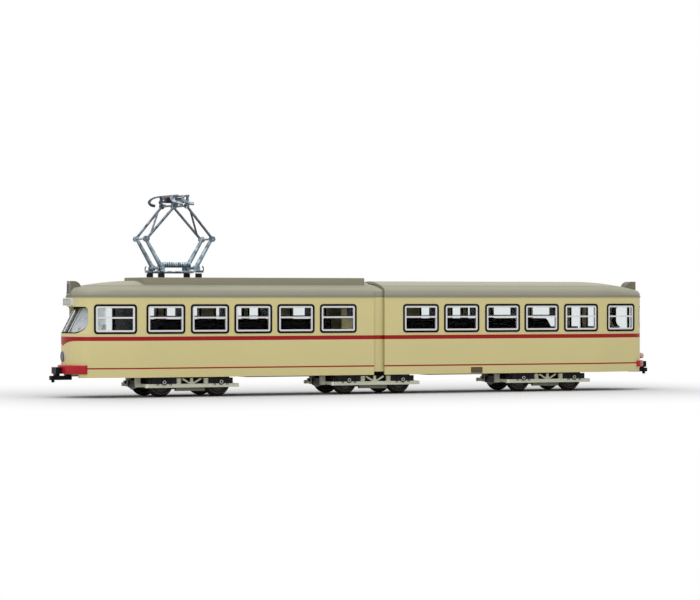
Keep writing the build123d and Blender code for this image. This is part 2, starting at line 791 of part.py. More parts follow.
def end_guard(x):
    """Two posts ahead of the leading wheels, with a pointed guard plate between and a knob."""
    with BuildPart() as guard:
        for y in (-GUARD_Y, GUARD_Y):
            with Locations((x - GUARD_X[1], y, GUARD_Z[0])):
                Box(
                    GUARD_X[1] - GUARD_X[0], GUARD_POST_W, GUARD_Z[1] - GUARD_Z[0],
                    align=(Align.MIN, Align.CENTER, Align.MIN),
                )
        with BuildSketch(Plane.YZ.offset(x - GUARD_X[1] + GUARD_POST_W / 2)):
            with BuildLine():
                Polyline(
                    (-GUARD_Y, GUARD_Z[0]), (0, GUARD_TIP_Z), (GUARD_Y, GUARD_Z[0]),
                    (GUARD_Y, GUARD_PLATE_Z), (-GUARD_Y, GUARD_PLATE_Z), close=True,
                )
            make_face()
        extrude(amount=GUARD_T)
        add(tube((x - GUARD_X[1], GUARD_Y, KNOB_Z), (x - GUARD_X[1] - KNOB_L, GUARD_Y, KNOB_Z), KNOB_R))
    return guard.part


def link_plate():
    """Outline of the link over the middle of a side bar: two rising arms and a post."""
    low, high = SIDE_BAR_Z[1], BOX_TOP_Z
    with BuildSketch() as link:
        for side in (-1, 1):
            with BuildLine():
                Polyline(
                    (0, low), (side * LINK_FOOT_HALF_W, low), (side * LINK_REACH, high - POST_T),
                    (side * (LINK_REACH - POST_T), high), close=True,
                )
            make_face()
        with BuildLine():
            Polyline(
                (-LINK_FOOT_HALF_W, low), (LINK_FOOT_HALF_W, low), (POST_T, (low + high) / 2),
                (POST_T, high), (-POST_T, high), (-POST_T, (low + high) / 2), close=True,
            )
        make_face()
    return link.sketch


def bogie_frame(x):
    """Ivory side bars, end beams, bolster, springs and rail brake bars."""
    coil_h = BOX_TOP_Z - SIDE_BAR_Z[1]
    suspension = coil(coil_h, SPRING_R, SPRING_WIRE_R, SPRING_TURNS)
    with BuildPart() as frame:
        for side in (-1, 1):
            with BuildSketch(Plane.XY.offset(SIDE_BAR_Z[0])):
                with Locations((x, side * (SIDE_BAR_Y[0] + SIDE_BAR_Y[1]) / 2)):
                    Rectangle(2 * SIDE_BAR_HALF_L, SIDE_BAR_Y[1] - SIDE_BAR_Y[0])
            extrude(amount=SIDE_BAR_Z[1] - SIDE_BAR_Z[0])
            with BuildSketch(Plane.XY.offset(BOW_Z[0])):
                with Locations((x, side * (BOW_Y[0] + BOW_Y[1]) / 2)):
                    Rectangle(2 * BOW_HALF_L, BOW_Y[1] - BOW_Y[0])
            extrude(amount=BOW_Z[1] - BOW_Z[0])
            for end in (-1, 1):
                post_h = BOLSTER_Z[0] - BOW_Z[1]
                with Locations((x + end * BRAKE_POST_X, side * (BOW_Y[0] + BOW_Y[1]) / 2, BOW_Z[1])):
                    Box(
                        BRAKE_POST_W, BRAKE_POST_W, post_h,
                        align=(Align.CENTER, Align.CENTER, Align.MIN),
                    )
                coil_y = side * (SIDE_BAR_Y[0] + SIDE_BAR_Y[1]) / 2
                add(suspension.moved(Location((x + end * SPRING_X, coil_y, SIDE_BAR_Z[1]))))
            with BuildSketch(Plane.XZ.offset(-side * LINK_Y)):
                with Locations((x, 0)):
                    add(link_plate())
            extrude(amount=side * LINK_T)
        for end in (-1, 1):
            with Locations((x + end * END_BEAM_X, 0, END_BEAM_Z[0])):
                Box(
                    END_BEAM_T, 2 * SIDE_BAR_Y[0], END_BEAM_Z[1] - END_BEAM_Z[0],
                    align=(Align.CENTER, Align.CENTER, Align.MIN),
                )
        add(end_guard(x))
        with Locations((x, 0, BOLSTER_Z[0])):
            Box(
                2 * BOLSTER_HALF_L, 2 * SIDE_BAR_Y[0], SIDE_BAR_Z[1] - BOLSTER_Z[0],
                align=(Align.CENTER, Align.CENTER, Align.MIN),
            )
            Box(
                2 * BOLSTER_HALF_L, 2 * BOLSTER_HALF_W, BOLSTER_Z[1] - BOLSTER_Z[0],
                align=(Align.CENTER, Align.CENTER, Align.MIN),
            )
            Box(
                2 * BOLSTER_HALF_L, 2 * CENTRE_HALF_W, CENTRE_TOP_Z - BOLSTER_Z[0],
                align=(Align.CENTER, Align.CENTER, Align.MIN),
            )
        with Locations((x, 0, CENTRE_TOP_Z)):
            Cylinder(PIVOT_R + PIVOT_CLEARANCE, 4 * CENTRE_TOP_Z, mode=Mode.SUBTRACT)
    return frame.part


def axle_boxes(x):
    """Dark guard panels, bearing blocks and round caps at the four axle ends."""
    with BuildPart() as boxes:
        for side in (-1, 1):
            for end in (-1, 1):
                axle_x = x + end * WHEELBASE / 2
                plate_y = side * (SIDE_BAR_Y[0] + SIDE_BAR_Y[1]) / 2
                with Locations((axle_x, plate_y, SIDE_BAR_Z[1])):
                    Box(
                        2 * BOX_HALF_L, SIDE_BAR_Y[1] - SIDE_BAR_Y[0], BOX_TOP_Z - SIDE_BAR_Z[1],
                        align=(Align.CENTER, Align.CENTER, Align.MIN),
                    )
                block_y = side * (BOX_INNER_Y + SIDE_BAR_Y[0]) / 2
                with Locations((axle_x, block_y, SIDE_BAR_Z[0])):
                    Box(
                        BOX_HALF_L, SIDE_BAR_Y[0] - BOX_INNER_Y, BOX_TOP_Z - SIDE_BAR_Z[0],
                        align=(Align.CENTER, Align.CENTER, Align.MIN),
                    )
                with BuildSketch(Plane.XZ.offset(-side * SIDE_BAR_Y[1])):
                    with Locations((axle_x, AXLE_Z)):
                        Circle(CAP_R)
                extrude(amount=-side * (CAP_Y - SIDE_BAR_Y[1]))
                with BuildSketch(Plane.XZ.offset(-side * BOX_INNER_Y)):
                    with Locations((axle_x, AXLE_Z)):
                        Circle(JOURNAL_R + JOURNAL_CLEARANCE)
                extrude(amount=-side * (JOURNAL_END_Y + JOURNAL_PLAY - BOX_INNER_Y), mode=Mode.SUBTRACT)
    return boxes.part


def tube(start, end, radius, end_radius=None):
    """Round bar between two points, tapered if a second radius is given."""
    start, end = Vector(start), Vector(end)
    length = (end - start).length
    base = Plane(origin=start, z_dir=(end - start).normalized())
    with BuildPart() as bar:
        with BuildSketch(base):
            Circle(radius)
        if end_radius is None:
            extrude(amount=length)
        else:
            with BuildSketch(base.offset(length)):
                Circle(end_radius)
            loft()
    return bar.part


def disc(x, y, z, radius, thickness):
    """Short cylinder along Y, centred on the point."""
    return tube((x, y - thickness / 2, z), (x, y + thickness / 2, z), radius)


def lower_arm(side):
    """Two tapered tubes from the foot shaft up to the elbow pin."""
    foot_x = PANTO_X + side * FOOT_PIVOT_X
    elbow_x = PANTO_X + side * ELBOW_X
    with BuildPart() as arm:
        for y in (-ARM_Y, ARM_Y):
            add(tube((foot_x, y, FOOT_PIVOT_Z), (elbow_x, y, ELBOW_Z), *LOWER_TUBE_R))
            add(disc(elbow_x, y, ELBOW_Z, ELBOW_DISC_R, ELBOW_DISC_T))
            add(disc(foot_x, y, FOOT_PIVOT_Z, FOOT_EYE_R, 2 * LOWER_TUBE_R[0]))
        add(disc(foot_x, 0, FOOT_PIVOT_Z, SHAFT_R, 2 * (LUG_Y + LUG_T)))
        add(disc(elbow_x, 0, ELBOW_Z, PIN_R, 2 * EYE_Y + EYE_T + 2 * PIN_END))
    return arm.part


def upper_frame(side, clearance):
    """Thin tubes from the elbow eyes up to the eyes on the head's shaft, with a brace."""
    elbow_x = PANTO_X + side * ELBOW_X
    top_x = PANTO_X + side * TOP_PIVOT_X
    with BuildPart() as frame:
        for y_side in (-1, 1):
            low = (elbow_x, y_side * EYE_Y, ELBOW_Z)
            high = (top_x, y_side * TOP_EYE_Y, TOP_PIVOT_Z)
            add(tube(low, high, UPPER_TUBE_R))
            add(disc(*low, EYE_R, EYE_T))
            add(disc(*high, EYE_R, EYE_T))
        near, far = (
            (Vector(elbow_x, y * EYE_Y, ELBOW_Z), Vector(top_x, y * TOP_EYE_Y, TOP_PIVOT_Z))
            for y in (side, -side)
        )
        add(tube(
            near[0] + (near[1] - near[0]) * BRACE_SHARE, far[1] + (far[0] - far[1]) * BRACE_SHARE, BRACE_R
        ))
        add(disc(elbow_x, 0, ELBOW_Z, PIN_R + PIN_CLEARANCE, 4 * EYE_Y), mode=Mode.SUBTRACT)
        add(disc(top_x, 0, TOP_PIVOT_Z, PIN_R + clearance, 4 * TOP_EYE_Y), mode=Mode.SUBTRACT)
    return frame.part


def collector_head():
    """Two collector strips with down-turned horns, on two shafts and their end plates."""
    plate_y = TOP_EYE_Y + EYE_T / 2 + END_PLATE_GAP + LUG_T / 2
    with BuildPart() as head:
        for side in (-1, 1):
            x = PANTO_X + side * TOP_PIVOT_X
            add(disc(x, 0, TOP_PIVOT_Z, PIN_R, 2 * plate_y + LUG_T))
            strip_x = PANTO_X + side * STRIP_X
            with BuildLine(Plane.YZ.offset(strip_x)) as path:
                Line((-STRIP_HALF_L, STRIP_Z), (STRIP_HALF_L, STRIP_Z))
                TangentArc((STRIP_HALF_L, STRIP_Z), (HORN_Y, HORN_Z), tangent=(1, 0))
                TangentArc((-STRIP_HALF_L, STRIP_Z), (-HORN_Y, HORN_Z), tangent=(-1, 0))
            for edge in path.edges():
                with BuildSketch(Plane(origin=edge @ 0, z_dir=edge % 0, x_dir=(1, 0, 0))):
                    Rectangle(STRIP_W, STRIP_T)
                sweep(path=edge)
        for y in (-plate_y, plate_y):
            with BuildSketch(Plane.XZ.offset(-y - LUG_T / 2)):
                with Locations((PANTO_X, (TOP_PIVOT_Z + STRIP_Z) / 2)):
                    Rectangle(2 * STRIP_X + STRIP_W, END_PLATE_W)
                with Locations((PANTO_X, 0)):
                    for side in (-1, 1):
                        with Locations((side * TOP_PIVOT_X, (TOP_PIVOT_Z + STRIP_Z) / 2)):
                            Rectangle(END_PLATE_W, STRIP_Z - TOP_PIVOT_Z + STRIP_T)
            extrude(amount=LUG_T)
    return head.part


def pantograph_base():
    """Rails, cross tubes and bearing lugs that stand on the insulated feet."""
    with BuildPart() as base:
        for y in (-LUG_Y, LUG_Y):
            add(tube((PANTO_X - BASE_HALF_L, y, RAIL_Z), (PANTO_X + BASE_HALF_L, y, RAIL_Z), RAIL_R))
        for side in (-1, 1):
            x = PANTO_X + side * FOOT_PIVOT_X
            add(disc(x - side * CROSS_TUBE_STEP, 0, RAIL_Z, RAIL_R, 2 * LUG_Y))
            for y in (-LUG_Y, LUG_Y):
                with BuildSketch(Plane.XZ.offset(-y - LUG_T / 2)):
                    with Locations((x, (RAIL_Z + FOOT_PIVOT_Z) / 2)):
                        Rectangle(LUG_W, FOOT_PIVOT_Z - RAIL_Z)
                    with Locations((x, FOOT_PIVOT_Z)):
                        Circle(LUG_W / 2)
                        Circle(SHAFT_R + PIN_CLEARANCE, mode=Mode.SUBTRACT)
                extrude(amount=LUG_T)
            for y in (-SPRING_ROW_Y, SPRING_ROW_Y):
                add(tube(
                    (PANTO_X + side * SPRING_ANCHOR_X, y, RAIL_Z),
                    (PANTO_X + side * SPRING_ANCHOR_X, y, TENSION_SPRING_Z - 2 * TENSION_SPRING_R), RAIL_R,
                ))
    return base.part


def tension_springs():
    """Two close-wound springs lying along the roof between the foot shafts."""
    half = SPRING_ANCHOR_X + RAIL_R
    z = TENSION_SPRING_Z - TENSION_SPRING_R
    wound = coil(2 * half, TENSION_SPRING_R, COIL_WIRE_R, int(2 * half / COIL_PITCH))
    with BuildPart() as springs:
        for y in (-SPRING_ROW_Y, SPRING_ROW_Y):
            add(wound.moved(Location((PANTO_X - half, y, z), (0, 90, 0))))
    return springs.part


def pantograph_feet():
    """Four dark insulators on the roof board."""
    with BuildPart() as feet:
        spots = [
            (PANTO_X + side * (BASE_HALF_L - FOOT_STEP), y, BOARD_TOP_Z)
            for side in (-1, 1) for y in (-LUG_Y, LUG_Y)
        ]
        with Locations(*spots):
            Cylinder(
                FOOT_R, RAIL_Z - RAIL_R - BOARD_TOP_Z, align=(Align.CENTER, Align.CENTER, Align.MIN)
            )
    return feet.part


def roof_board():
    """Flat board lying over the crown of the front roof."""
    with BuildPart() as board:
        with Locations(((BOARD_X[0] + BOARD_X[1]) / 2, 0, GUTTER_Z)):
            Box(
                BOARD_X[1] - BOARD_X[0], 2 * BOARD_HALF_W, BOARD_TOP_Z - GUTTER_Z,
                align=(Align.CENTER, Align.CENTER, Align.MIN),
            )
        add(roof_volume(FRONT_JOINT_X, 0, VISOR_NOSE), mode=Mode.SUBTRACT)
        fillet(board.edges().group_by(Axis.Z)[-1], radius=BOARD_EDGE_R)
    return board.part


def drum_wall():
    """Round wall between the sections, with a doorway each way and an apron each side."""
    with BuildPart() as drum:
        with BuildSketch(Plane.XY.offset(DRUM_BOTTOM_Z)):
            Circle(DRUM_R)
            Circle(DRUM_R - DRUM_T, mode=Mode.SUBTRACT)
        extrude(amount=GUTTER_Z - DRUM_BOTTOM_Z)
        plate_z = FLOOR_Z + FLOOR_T + PLATE_GAP
        for side in (-1, 1):
            with Locations((side * APRON_HALF_W, 0, DRUM_BOTTOM_Z)):
                Box(
                    2 * DRUM_R, 4 * DRUM_R, plate_z - DRUM_BOTTOM_Z,
                    align=(Align.MIN if side > 0 else Align.MAX, Align.CENTER, Align.MIN),
                    mode=Mode.SUBTRACT,
                )
        with Locations((0, 0, plate_z + FLOOR_T)):
            Box(
                4 * DRUM_R, DRUM_DOORWAY_W, DRUM_DOORWAY_TOP_Z - plate_z - FLOOR_T,
                align=(Align.CENTER, Align.CENTER, Align.MIN), mode=Mode.SUBTRACT,
            )
    return drum.part


def drum_roof():
    """Low dome over the drum, just under the roofs of both sections."""
    inset = ROOF_T + DRUM_CLEARANCE
    with BuildPart() as dome:
        with BuildSketch(Plane.XZ) as section:
            add(drum_roof_profile(inset))
            add(drum_roof_profile(inset + ROOF_T), mode=Mode.SUBTRACT)
        revolve(axis=Axis.Z)
    return dome.part


def drum_roof_profile(inset):
    """Half section of the dome: crown arc, rounded shoulder, then straight down to the gutter."""
    crown = CROWN_Z - inset
    edge = HALF_W - inset
    shoulder_z = crown - edge ** 2 / (2 * CROWN_R)
    with BuildSketch() as half:
        with BuildLine():
            Line((0, GUTTER_Z), (0, crown))
            TangentArc((0, crown), (edge, shoulder_z), tangent=(1, 0))
            Polyline((edge, shoulder_z), (edge, GUTTER_Z), (0, GUTTER_Z))
        make_face()
        corner = half.vertices().sort_by(Axis.X)[-2:].sort_by(Axis.Y)[-1]
        fillet(corner, radius=SHOULDER_R - inset)
    return half.sketch


def joint_plate():
    """Round floor of the drum with the riser that ties it to the front floor."""
    plate_z = FLOOR_Z + FLOOR_T + PLATE_GAP
    with BuildPart() as plate:
        with Locations((0, 0, plate_z)):
            Cylinder(DRUM_R - DRUM_T, FLOOR_T, align=(Align.CENTER, Align.CENTER, Align.MIN))
        with Locations(((RISER_X[0] + RISER_X[1]) / 2, 0, FLOOR_Z)):
            Box(
                RISER_X[1] - RISER_X[0], 2 * CENTRE_HALF_W, FLOOR_T + PLATE_GAP,
                align=(Align.CENTER, Align.CENTER, Align.MIN),
            )
        add(pivot(0, plate_z))
    return plate.part


def tongue():
    """Flat eye of the rear floor that turns on the middle bogie's pivot."""
    with BuildPart() as eye:
        with BuildSketch(Plane.XY.offset(FLOOR_Z)):
            with Locations((TONGUE_TIP_X, 0)):
                Rectangle(
                    FLOOR_START_X - TONGUE_TIP_X, 2 * TONGUE_HALF_W, align=(Align.MIN, Align.CENTER)
                )
            Circle(PIVOT_R + PIVOT_CLEARANCE, mode=Mode.SUBTRACT)
        extrude(amount=FLOOR_T)
    return eye.part


def partition():
    """Wall behind the driver, with the driver's desk ahead of it."""
    floor = FLOOR_Z + FLOOR_T
    inset = WALL + SIDE_GAP
    with BuildPart() as wall:
        with BuildSketch(Plane.XY.offset(floor)):
            add(plan(PARTITION_X, inset))
            with Locations((PARTITION_X + PARTITION_T, 0)):
                Rectangle(
                    NOSE_X, 4 * HALF_W, align=(Align.MIN, Align.CENTER), mode=Mode.SUBTRACT
                )
        extrude(amount=PARTITION_TOP_Z - floor)
        with BuildSketch(Plane.XY.offset(floor)):
            add(plan(DESK_X, inset))
        extrude(amount=DESK_Z - floor)
    return wall.part


front_opening = (SCREEN_HALF_W, (SILL_Z, VISOR_Z))
rear_opening = (REAR_SCREEN_HALF_W, REAR_SCREEN_Z)
front_screen = (SCREEN_RAKE, *front_opening, FRONT_NOSE)
rear_screen = (0, *rear_opening, REAR_NOSE)
tail_lamp = (TAIL_LAMP_Z, TAIL_LAMP_R, TAIL_LAMP_TIP_X, REAR_NOSE)
front_walls = (FRONT_WINDOWS, FRONT_DOOR_SIDE_WINDOWS, FRONT_DOORS)
rear_walls = (REAR_WINDOWS, REAR_DOOR_SIDE_WINDOWS, REAR_DOORS)

# Pieces of the front section are drawn towards +X and mirrored
towards_front = {
    "front_shell": section_shell(front_body, *front_walls, *front_opening, NOTCH_X),
    "front_roof": section_roof(FRONT_JOINT_X, FRONT_BOX_X, VISOR_NOSE),
    "front_gaskets": section_gaskets(*front_walls, *front_screen),
    "front_frames": section_frames(FRONT_WINDOWS, FRONT_DOOR_SIDE_WINDOWS, *front_screen),
    "front_glazing": section_glazing(*front_walls, *front_screen),
    "front_chassis": section_chassis(FRONT_NOSE).fuse(joint_plate()),
    "motor_block": block(FRONT_BLOCK_X),
    "cab_partition": partition(),
    "front_bumper": bumper(FRONT_NOSE, FRONT_BUMPER_Z),
    "front_coupler": coupler(0),
    "destination_display": destination_display(),
    "headlight": lamp(0, HEADLIGHT_Z, HEADLIGHT_R, HEADLIGHT_TIP_X, FRONT_NOSE),
    "front_number_box": number_box(FRONT_BOX_X, FRONT_BOX_TOP_Z),
    "roof_board": roof_board(),
}
towards_rear = {
    "rear_shell": section_shell(rear_body, *rear_walls, *rear_opening, NOTCH_X + REAR_EXTRA),
    "rear_roof": section_roof(REAR_JOINT_X, REAR_BOX_X, REAR_NOSE),
    "rear_gaskets": section_gaskets(*rear_walls, *rear_screen),
    "rear_frames": section_frames(REAR_WINDOWS, REAR_DOOR_SIDE_WINDOWS, *rear_screen),
    "rear_glazing": section_glazing(*rear_walls, *rear_screen),
    "rear_chassis": section_chassis(REAR_NOSE).fuse(tongue()),
    "weight_block": block(REAR_BLOCK_X),
    "rear_seats": seat_rows([SEAT_START_X + SEAT_PITCH * i for i in range(SEAT_ROWS)]),
    "rear_bumper": bumper(REAR_NOSE, REAR_BUMPER_Z),
    "rear_coupler": coupler(REAR_DRAWBAR_LIFT).moved(Location((REAR_EXTRA, 0, 0))),
    "tail_lamps": lamp(TAIL_LAMP_Y, *tail_lamp).fuse(lamp(-TAIL_LAMP_Y, *tail_lamp)),
    "rear_number_box": number_box(REAR_BOX_X, REAR_BOX_TOP_Z),
    "drum_wall": drum_wall(),
    "drum_roof": drum_roof(),
    "pantograph_base": pantograph_base(),
    "pantograph_springs": tension_springs(),
    "pantograph_feet": pantograph_feet(),
    "lower_arm_front": lower_arm(-1),
    "lower_arm_rear": lower_arm(1),
    "upper_frame_front": upper_frame(-1, PIN_CLEARANCE),
    "upper_frame_rear": upper_frame(1, OPEN_PIN_CLEARANCE),
    "collector_head": collector_head(),
}
bogies = (("front", -BOGIE_SPACING), ("middle", 0.0), ("rear", BOGIE_SPACING))
for place, bogie_x in bogies:
    towards_rear[f"{place}_bogie_frame"] = bogie_frame(bogie_x)
    towards_rear[f"{place}_axle_boxes"] = axle_boxes(bogie_x)
    towards_rear[f"{place}_wheelset_1"] = wheelset(bogie_x - WHEELBASE / 2)
    towards_rear[f"{place}_wheelset_2"] = wheelset(bogie_x + WHEELBASE / 2)

pieces = {name: mirror(piece, about=Plane.YZ) for name, piece in towards_front.items()}
pieces.update(towards_rear)
for name, piece in pieces.items():
    with BuildPart() as finished:
        add(piece)
    finished.part.label = name
    export_step(finished.part, f"parts/{name}.step")
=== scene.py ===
"""Looks of the two-section articulated tram model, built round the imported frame.

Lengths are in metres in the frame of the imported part. The model stands on Z = 0,
travels towards -X and shows its window side towards -Y.
"""
import math

import bmesh
import bpy
from bpy.props import FloatProperty, FloatVectorProperty, PointerProperty
from mathutils import Matrix, Vector


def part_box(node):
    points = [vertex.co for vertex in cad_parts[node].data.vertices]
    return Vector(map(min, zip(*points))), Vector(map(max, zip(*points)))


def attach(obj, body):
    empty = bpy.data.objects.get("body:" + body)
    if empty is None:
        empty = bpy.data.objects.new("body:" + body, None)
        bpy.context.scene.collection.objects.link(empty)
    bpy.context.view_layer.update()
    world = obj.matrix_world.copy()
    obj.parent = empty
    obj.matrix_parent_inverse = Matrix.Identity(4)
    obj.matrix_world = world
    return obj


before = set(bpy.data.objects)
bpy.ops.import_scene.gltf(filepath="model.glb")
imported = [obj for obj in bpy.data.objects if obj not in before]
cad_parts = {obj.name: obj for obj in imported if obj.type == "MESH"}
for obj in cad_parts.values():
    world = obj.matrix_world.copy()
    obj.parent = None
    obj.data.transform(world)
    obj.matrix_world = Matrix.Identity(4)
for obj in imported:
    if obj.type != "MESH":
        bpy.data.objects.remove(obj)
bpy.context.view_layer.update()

bl_info = {
    "name": "Articulated Tram Model",
    "version": (1, 0, 0),
    "blender": (4, 5, 0),
    "location": "View3D > Sidebar > Tram",
    "description": "Paints and details a two-section articulated tram model",
    "category": "Object",
}

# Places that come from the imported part
AXLE_Z = sum(corner.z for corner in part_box("middle_wheelset_1")) / 2
WHEEL_X = [
    abs(sum(corner.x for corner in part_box(f"{place}_wheelset_{number}")) / 2)
    for place, number in (("middle", 1), ("front", 1), ("front", 2))
]
BOGIE_X = {
    place: sum(corner.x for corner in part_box(f"{place}_axle_boxes")) / 2
    for place in ("front", "middle", "rear")
}

# Side walls: half width, where they start to taper and how steeply
WALL_Y = 0.0135
TAPER_X = 0.0885
TAPER_SLOPE = 0.202


def display(red, green, blue):
    """Colour as seen on a screen, from 0 to 255, in the linear values that shaders use."""
    return tuple(
        part / 12.92 if part <= 0.04045 else ((part + 0.055) / 1.055) ** 2.4
        for part in (red / 255, green / 255, blue / 255)
    )


def colour(name, description, *screen):
    """Colour property with its default given as on a screen."""
    return FloatVectorProperty(
        name=name, description=description, subtype="COLOR", size=3, min=0, max=1,
        default=display(*screen),
    )


def length(name, description, default):
    """Length property in metres."""
    return FloatProperty(name=name, description=description, unit="LENGTH", precision=5, default=default)


def power(name, description, default):
    """Power property in watts."""
    return FloatProperty(name=name, description=description, unit="POWER", default=default)


class TramLivery(bpy.types.PropertyGroup):
    """Heights of the painted bands."""

    band_low: length("Band lower edge", "Lower edge of the waist band", 0.0192)
    band_high: length("Band upper edge", "Upper edge of the waist band", 0.0206)
    point_depth: length("Point depth", "How far the band dips at the middle of the nose", 0.0018)
    point_reach: length("Point reach", "Distance from the middle where the dip begins", 0.0075)
    line_middle: length("Line height", "Middle of the thin line above the skirt", 0.0099)
    line_width: length("Line width", "Width of the thin line", 0.0005)


class TramColours(bpy.types.PropertyGroup):
    """Finishes of the model."""

    cream: colour("Cream", "Body sides", 204, 193, 138)
    hatch: colour("Hatch", "Hatch in the rear skirt", 84, 76, 52)
    band: colour("Band", "Waist band", 148, 12, 18)
    line: colour("Line", "Thin line above the skirt", 146, 34, 24)
    roof: colour("Roof", "Moulded roof", 152, 149, 132)
    board: colour("Board", "Roof board under the collector", 128, 124, 106)
    rubber: colour("Gasket", "Window gaskets", 7, 7, 8)
    silver: colour("Silver", "Window frames", 212, 211, 213)
    glass: colour("Glazing", "Clear plastic panes", 240, 243, 243)
    black: colour("Black", "Chassis, partition and couplers", 11, 11, 13)
    weight: colour("Weight", "Cast masses inside the sections", 3, 3, 5)
    bumper: colour("Bumper", "Bumpers", 172, 16, 30)
    white: colour("White", "Blank display", 206, 203, 192)
    ivory: colour("Ivory", "Bogie side frames", 202, 202, 182)
    panel: colour("Panel", "Axle boxes and guards", 30, 30, 36)
    disc: colour("Wheel disc", "Wheel discs", 74, 78, 84)
    rim: colour("Wheel rim", "Tyres and flanges", 38, 29, 26)
    steel: colour("Steel", "Upper frames and head of the collector", 112, 122, 132)
    bright: colour("Bright steel", "Lower arms and base of the collector", 160, 178, 190)
    lamp: colour("Headlight", "Headlight glass", 66, 54, 64)
    tail: colour("Tail lamps", "Tail lamps", 216, 150, 118)
    ring: colour("Lamp rings", "Rings of the lamps and axle caps", 176, 180, 166)
    pane: colour("Number panes", "Blank panes of the number boxes", 14, 12, 13)
    # The windscreen colour is a painted reflection of the white backdrop on its side panes
    screen_reflection: colour("Windscreen", "Milky tint of the thick windscreen", 206, 212, 216)
    post: colour("Posts", "Ribbed posts inside the windows", 52, 56, 60)
    box: colour("Number boxes", "Boxes on the roof ends", 112, 108, 92)


class TramStage(bpy.types.PropertyGroup):
    """Studio around the model."""

    overhead: power("Overhead", "Power of the overhead softbox", 6.5)
    front_fill: power("Front fill", "Power of the front softbox", 4.9)
    ambient: FloatProperty(name="Ambient", description="Strength of the room light", default=0.53)
    floor: colour("Floor", "Pale floor", 238, 238, 240)


class Signal:
    """Shader output that takes part in arithmetic."""

    def __init__(self, graph, socket):
        self.graph = graph
        self.socket = socket

    def __add__(self, other):
        return self.graph.maths("ADD", self, other)

    __radd__ = __add__

    def __sub__(self, other):
        return self.graph.maths("SUBTRACT", self, other)

    def __rsub__(self, other):
        return self.graph.maths("SUBTRACT", other, self)

    def __mul__(self, other):
        return self.graph.maths("MULTIPLY", self, other)

    __rmul__ = __mul__

    def __pow__(self, other):
        return self.graph.maths("POWER", self, other)

    def __abs__(self):
        return self.graph.maths("ABSOLUTE", self)


class Graph:
    """Material or world under construction."""

    def __init__(self, name, kind="materials"):
        self.material = getattr(bpy.data, kind).new(name)
        self.material.use_nodes = True
        self.tree = self.material.node_tree
        self.tree.nodes.clear()
        self.place = None

    def node(self, kind, settings=None, inputs=None, output=0):
        """Adds a node, sets it up, feeds its sockets and gives one of its outputs."""
        made = self.tree.nodes.new(kind)
        for key, value in (settings or {}).items():
            setattr(made, key, value)
        for key, value in (inputs or {}).items():
            if isinstance(value, Signal):
                self.tree.links.new(value.socket, made.inputs[key])
            else:
                made.inputs[key].default_value = value
        return Signal(self, made.outputs[output]) if made.outputs else None

    def maths(self, operation, *values):
        """Node that works out one step of arithmetic."""
        return self.node("ShaderNodeMath", {"operation": operation}, dict(enumerate(values)))

    def position(self):
        """Point on the piece, in metres."""
        if self.place is None:
            self.place = self.node("ShaderNodeTexCoord", output="Object")
        return self.place

    def parts(self, vector):
        """The three parts of a vector."""
        outputs = self.node("ShaderNodeSeparateXYZ", inputs={0: vector}).socket.node.outputs
        return [Signal(self, outputs[axis]) for axis in range(3)]

    def axes(self):
        """X, Y and Z of the point on the piece, in metres."""
        return self.parts(self.position())

    def noise(self, size, detail=2.0, stretch=None):
        """Noise from 0 to 1 whose lumps are about size metres across."""
        point = self.position()
        if stretch:
            point = self.node(
                "ShaderNodeVectorMath", {"operation": "MULTIPLY"}, {0: point, 1: stretch}
            )
        return self.node(
            "ShaderNodeTexNoise", inputs={"Vector": point, "Scale": 1 / size, "Detail": detail}
        )

    def step(self, value, edge, soft=0.00003):
        """0 below the edge and 1 above it."""
        return self.node(
            "ShaderNodeMapRange", {"clamp": True},
            {0: value, 1: edge - soft / 2, 2: edge + soft / 2},
        )

    def span(self, value, low, high, soft=0.00003):
        """1 between two edges."""
        return self.step(value, low, soft) * (1 - self.step(value, high, soft))

    def mix(self, factor, first, second):
        """Blend of two colours."""
        pair = [shade if isinstance(shade, Signal) else (*shade[:3], 1) for shade in (first, second)]
        return self.node(
            "ShaderNodeMix", {"data_type": "RGBA"}, {0: factor, 6: pair[0], 7: pair[1]}, output=2
        )

    def seen(self):
        """1 where the camera, a reflection or a clear pane looks, 0 for other light."""
        paths = self.node("ShaderNodeLightPath").socket.node.outputs
        kinds = [Signal(self, paths[f"Is {kind} Ray"]) for kind in ("Camera", "Glossy", "Transmission")]
        return self.maths("MAXIMUM", kinds[0], self.maths("MAXIMUM", kinds[1], kinds[2]))

    def bump(self, height, distance):
        """Fine relief, as deep as distance in metres."""
        return self.node("ShaderNodeBump", inputs={"Height": height, "Distance": distance, "Strength": 1.0})

    def mottled(self, lumps, shade, low, high):
        """One colour that goes from darker to lighter with the lumps."""
        return self.mix(lumps, shaded(shade, low), shaded(shade, high))

    def surface(self, base, **settings):
        """Ends the material in a principled shader."""
        values = {key.replace("_", " "): value for key, value in settings.items()}
        values["Base Color"] = base if isinstance(base, Signal) else (*base[:3], 1)
        shader = self.node("ShaderNodeBsdfPrincipled", inputs=values)
        self.node("ShaderNodeOutputMaterial", inputs={"Surface": shader})
        return self.material


# How strongly pale plastics, black plastics and cast metal mirror the room, and how plastics bend light
BODY_GLOSS = 0.25
BLACK_GLOSS = 0.1
WEIGHT_GLOSS = 0.02
PLASTIC_IOR = 1.48


def shaded(shade, factor):
    """The same colour, lighter or darker."""
    return tuple(min(1.0, part * factor) for part in shade)


# Moulded plastic: sizes of its clouds and grain, depth of the grain, and how far the gloss varies
MOULD_CLOUDS = 0.006
MOULD_GRAIN = 0.00025
MOULD_RELIEF = 0.00001
GRAIN_WEIGHT = 0.25
GRAIN_SHADE = 0.8
GLOSS_SPREAD = 0.14


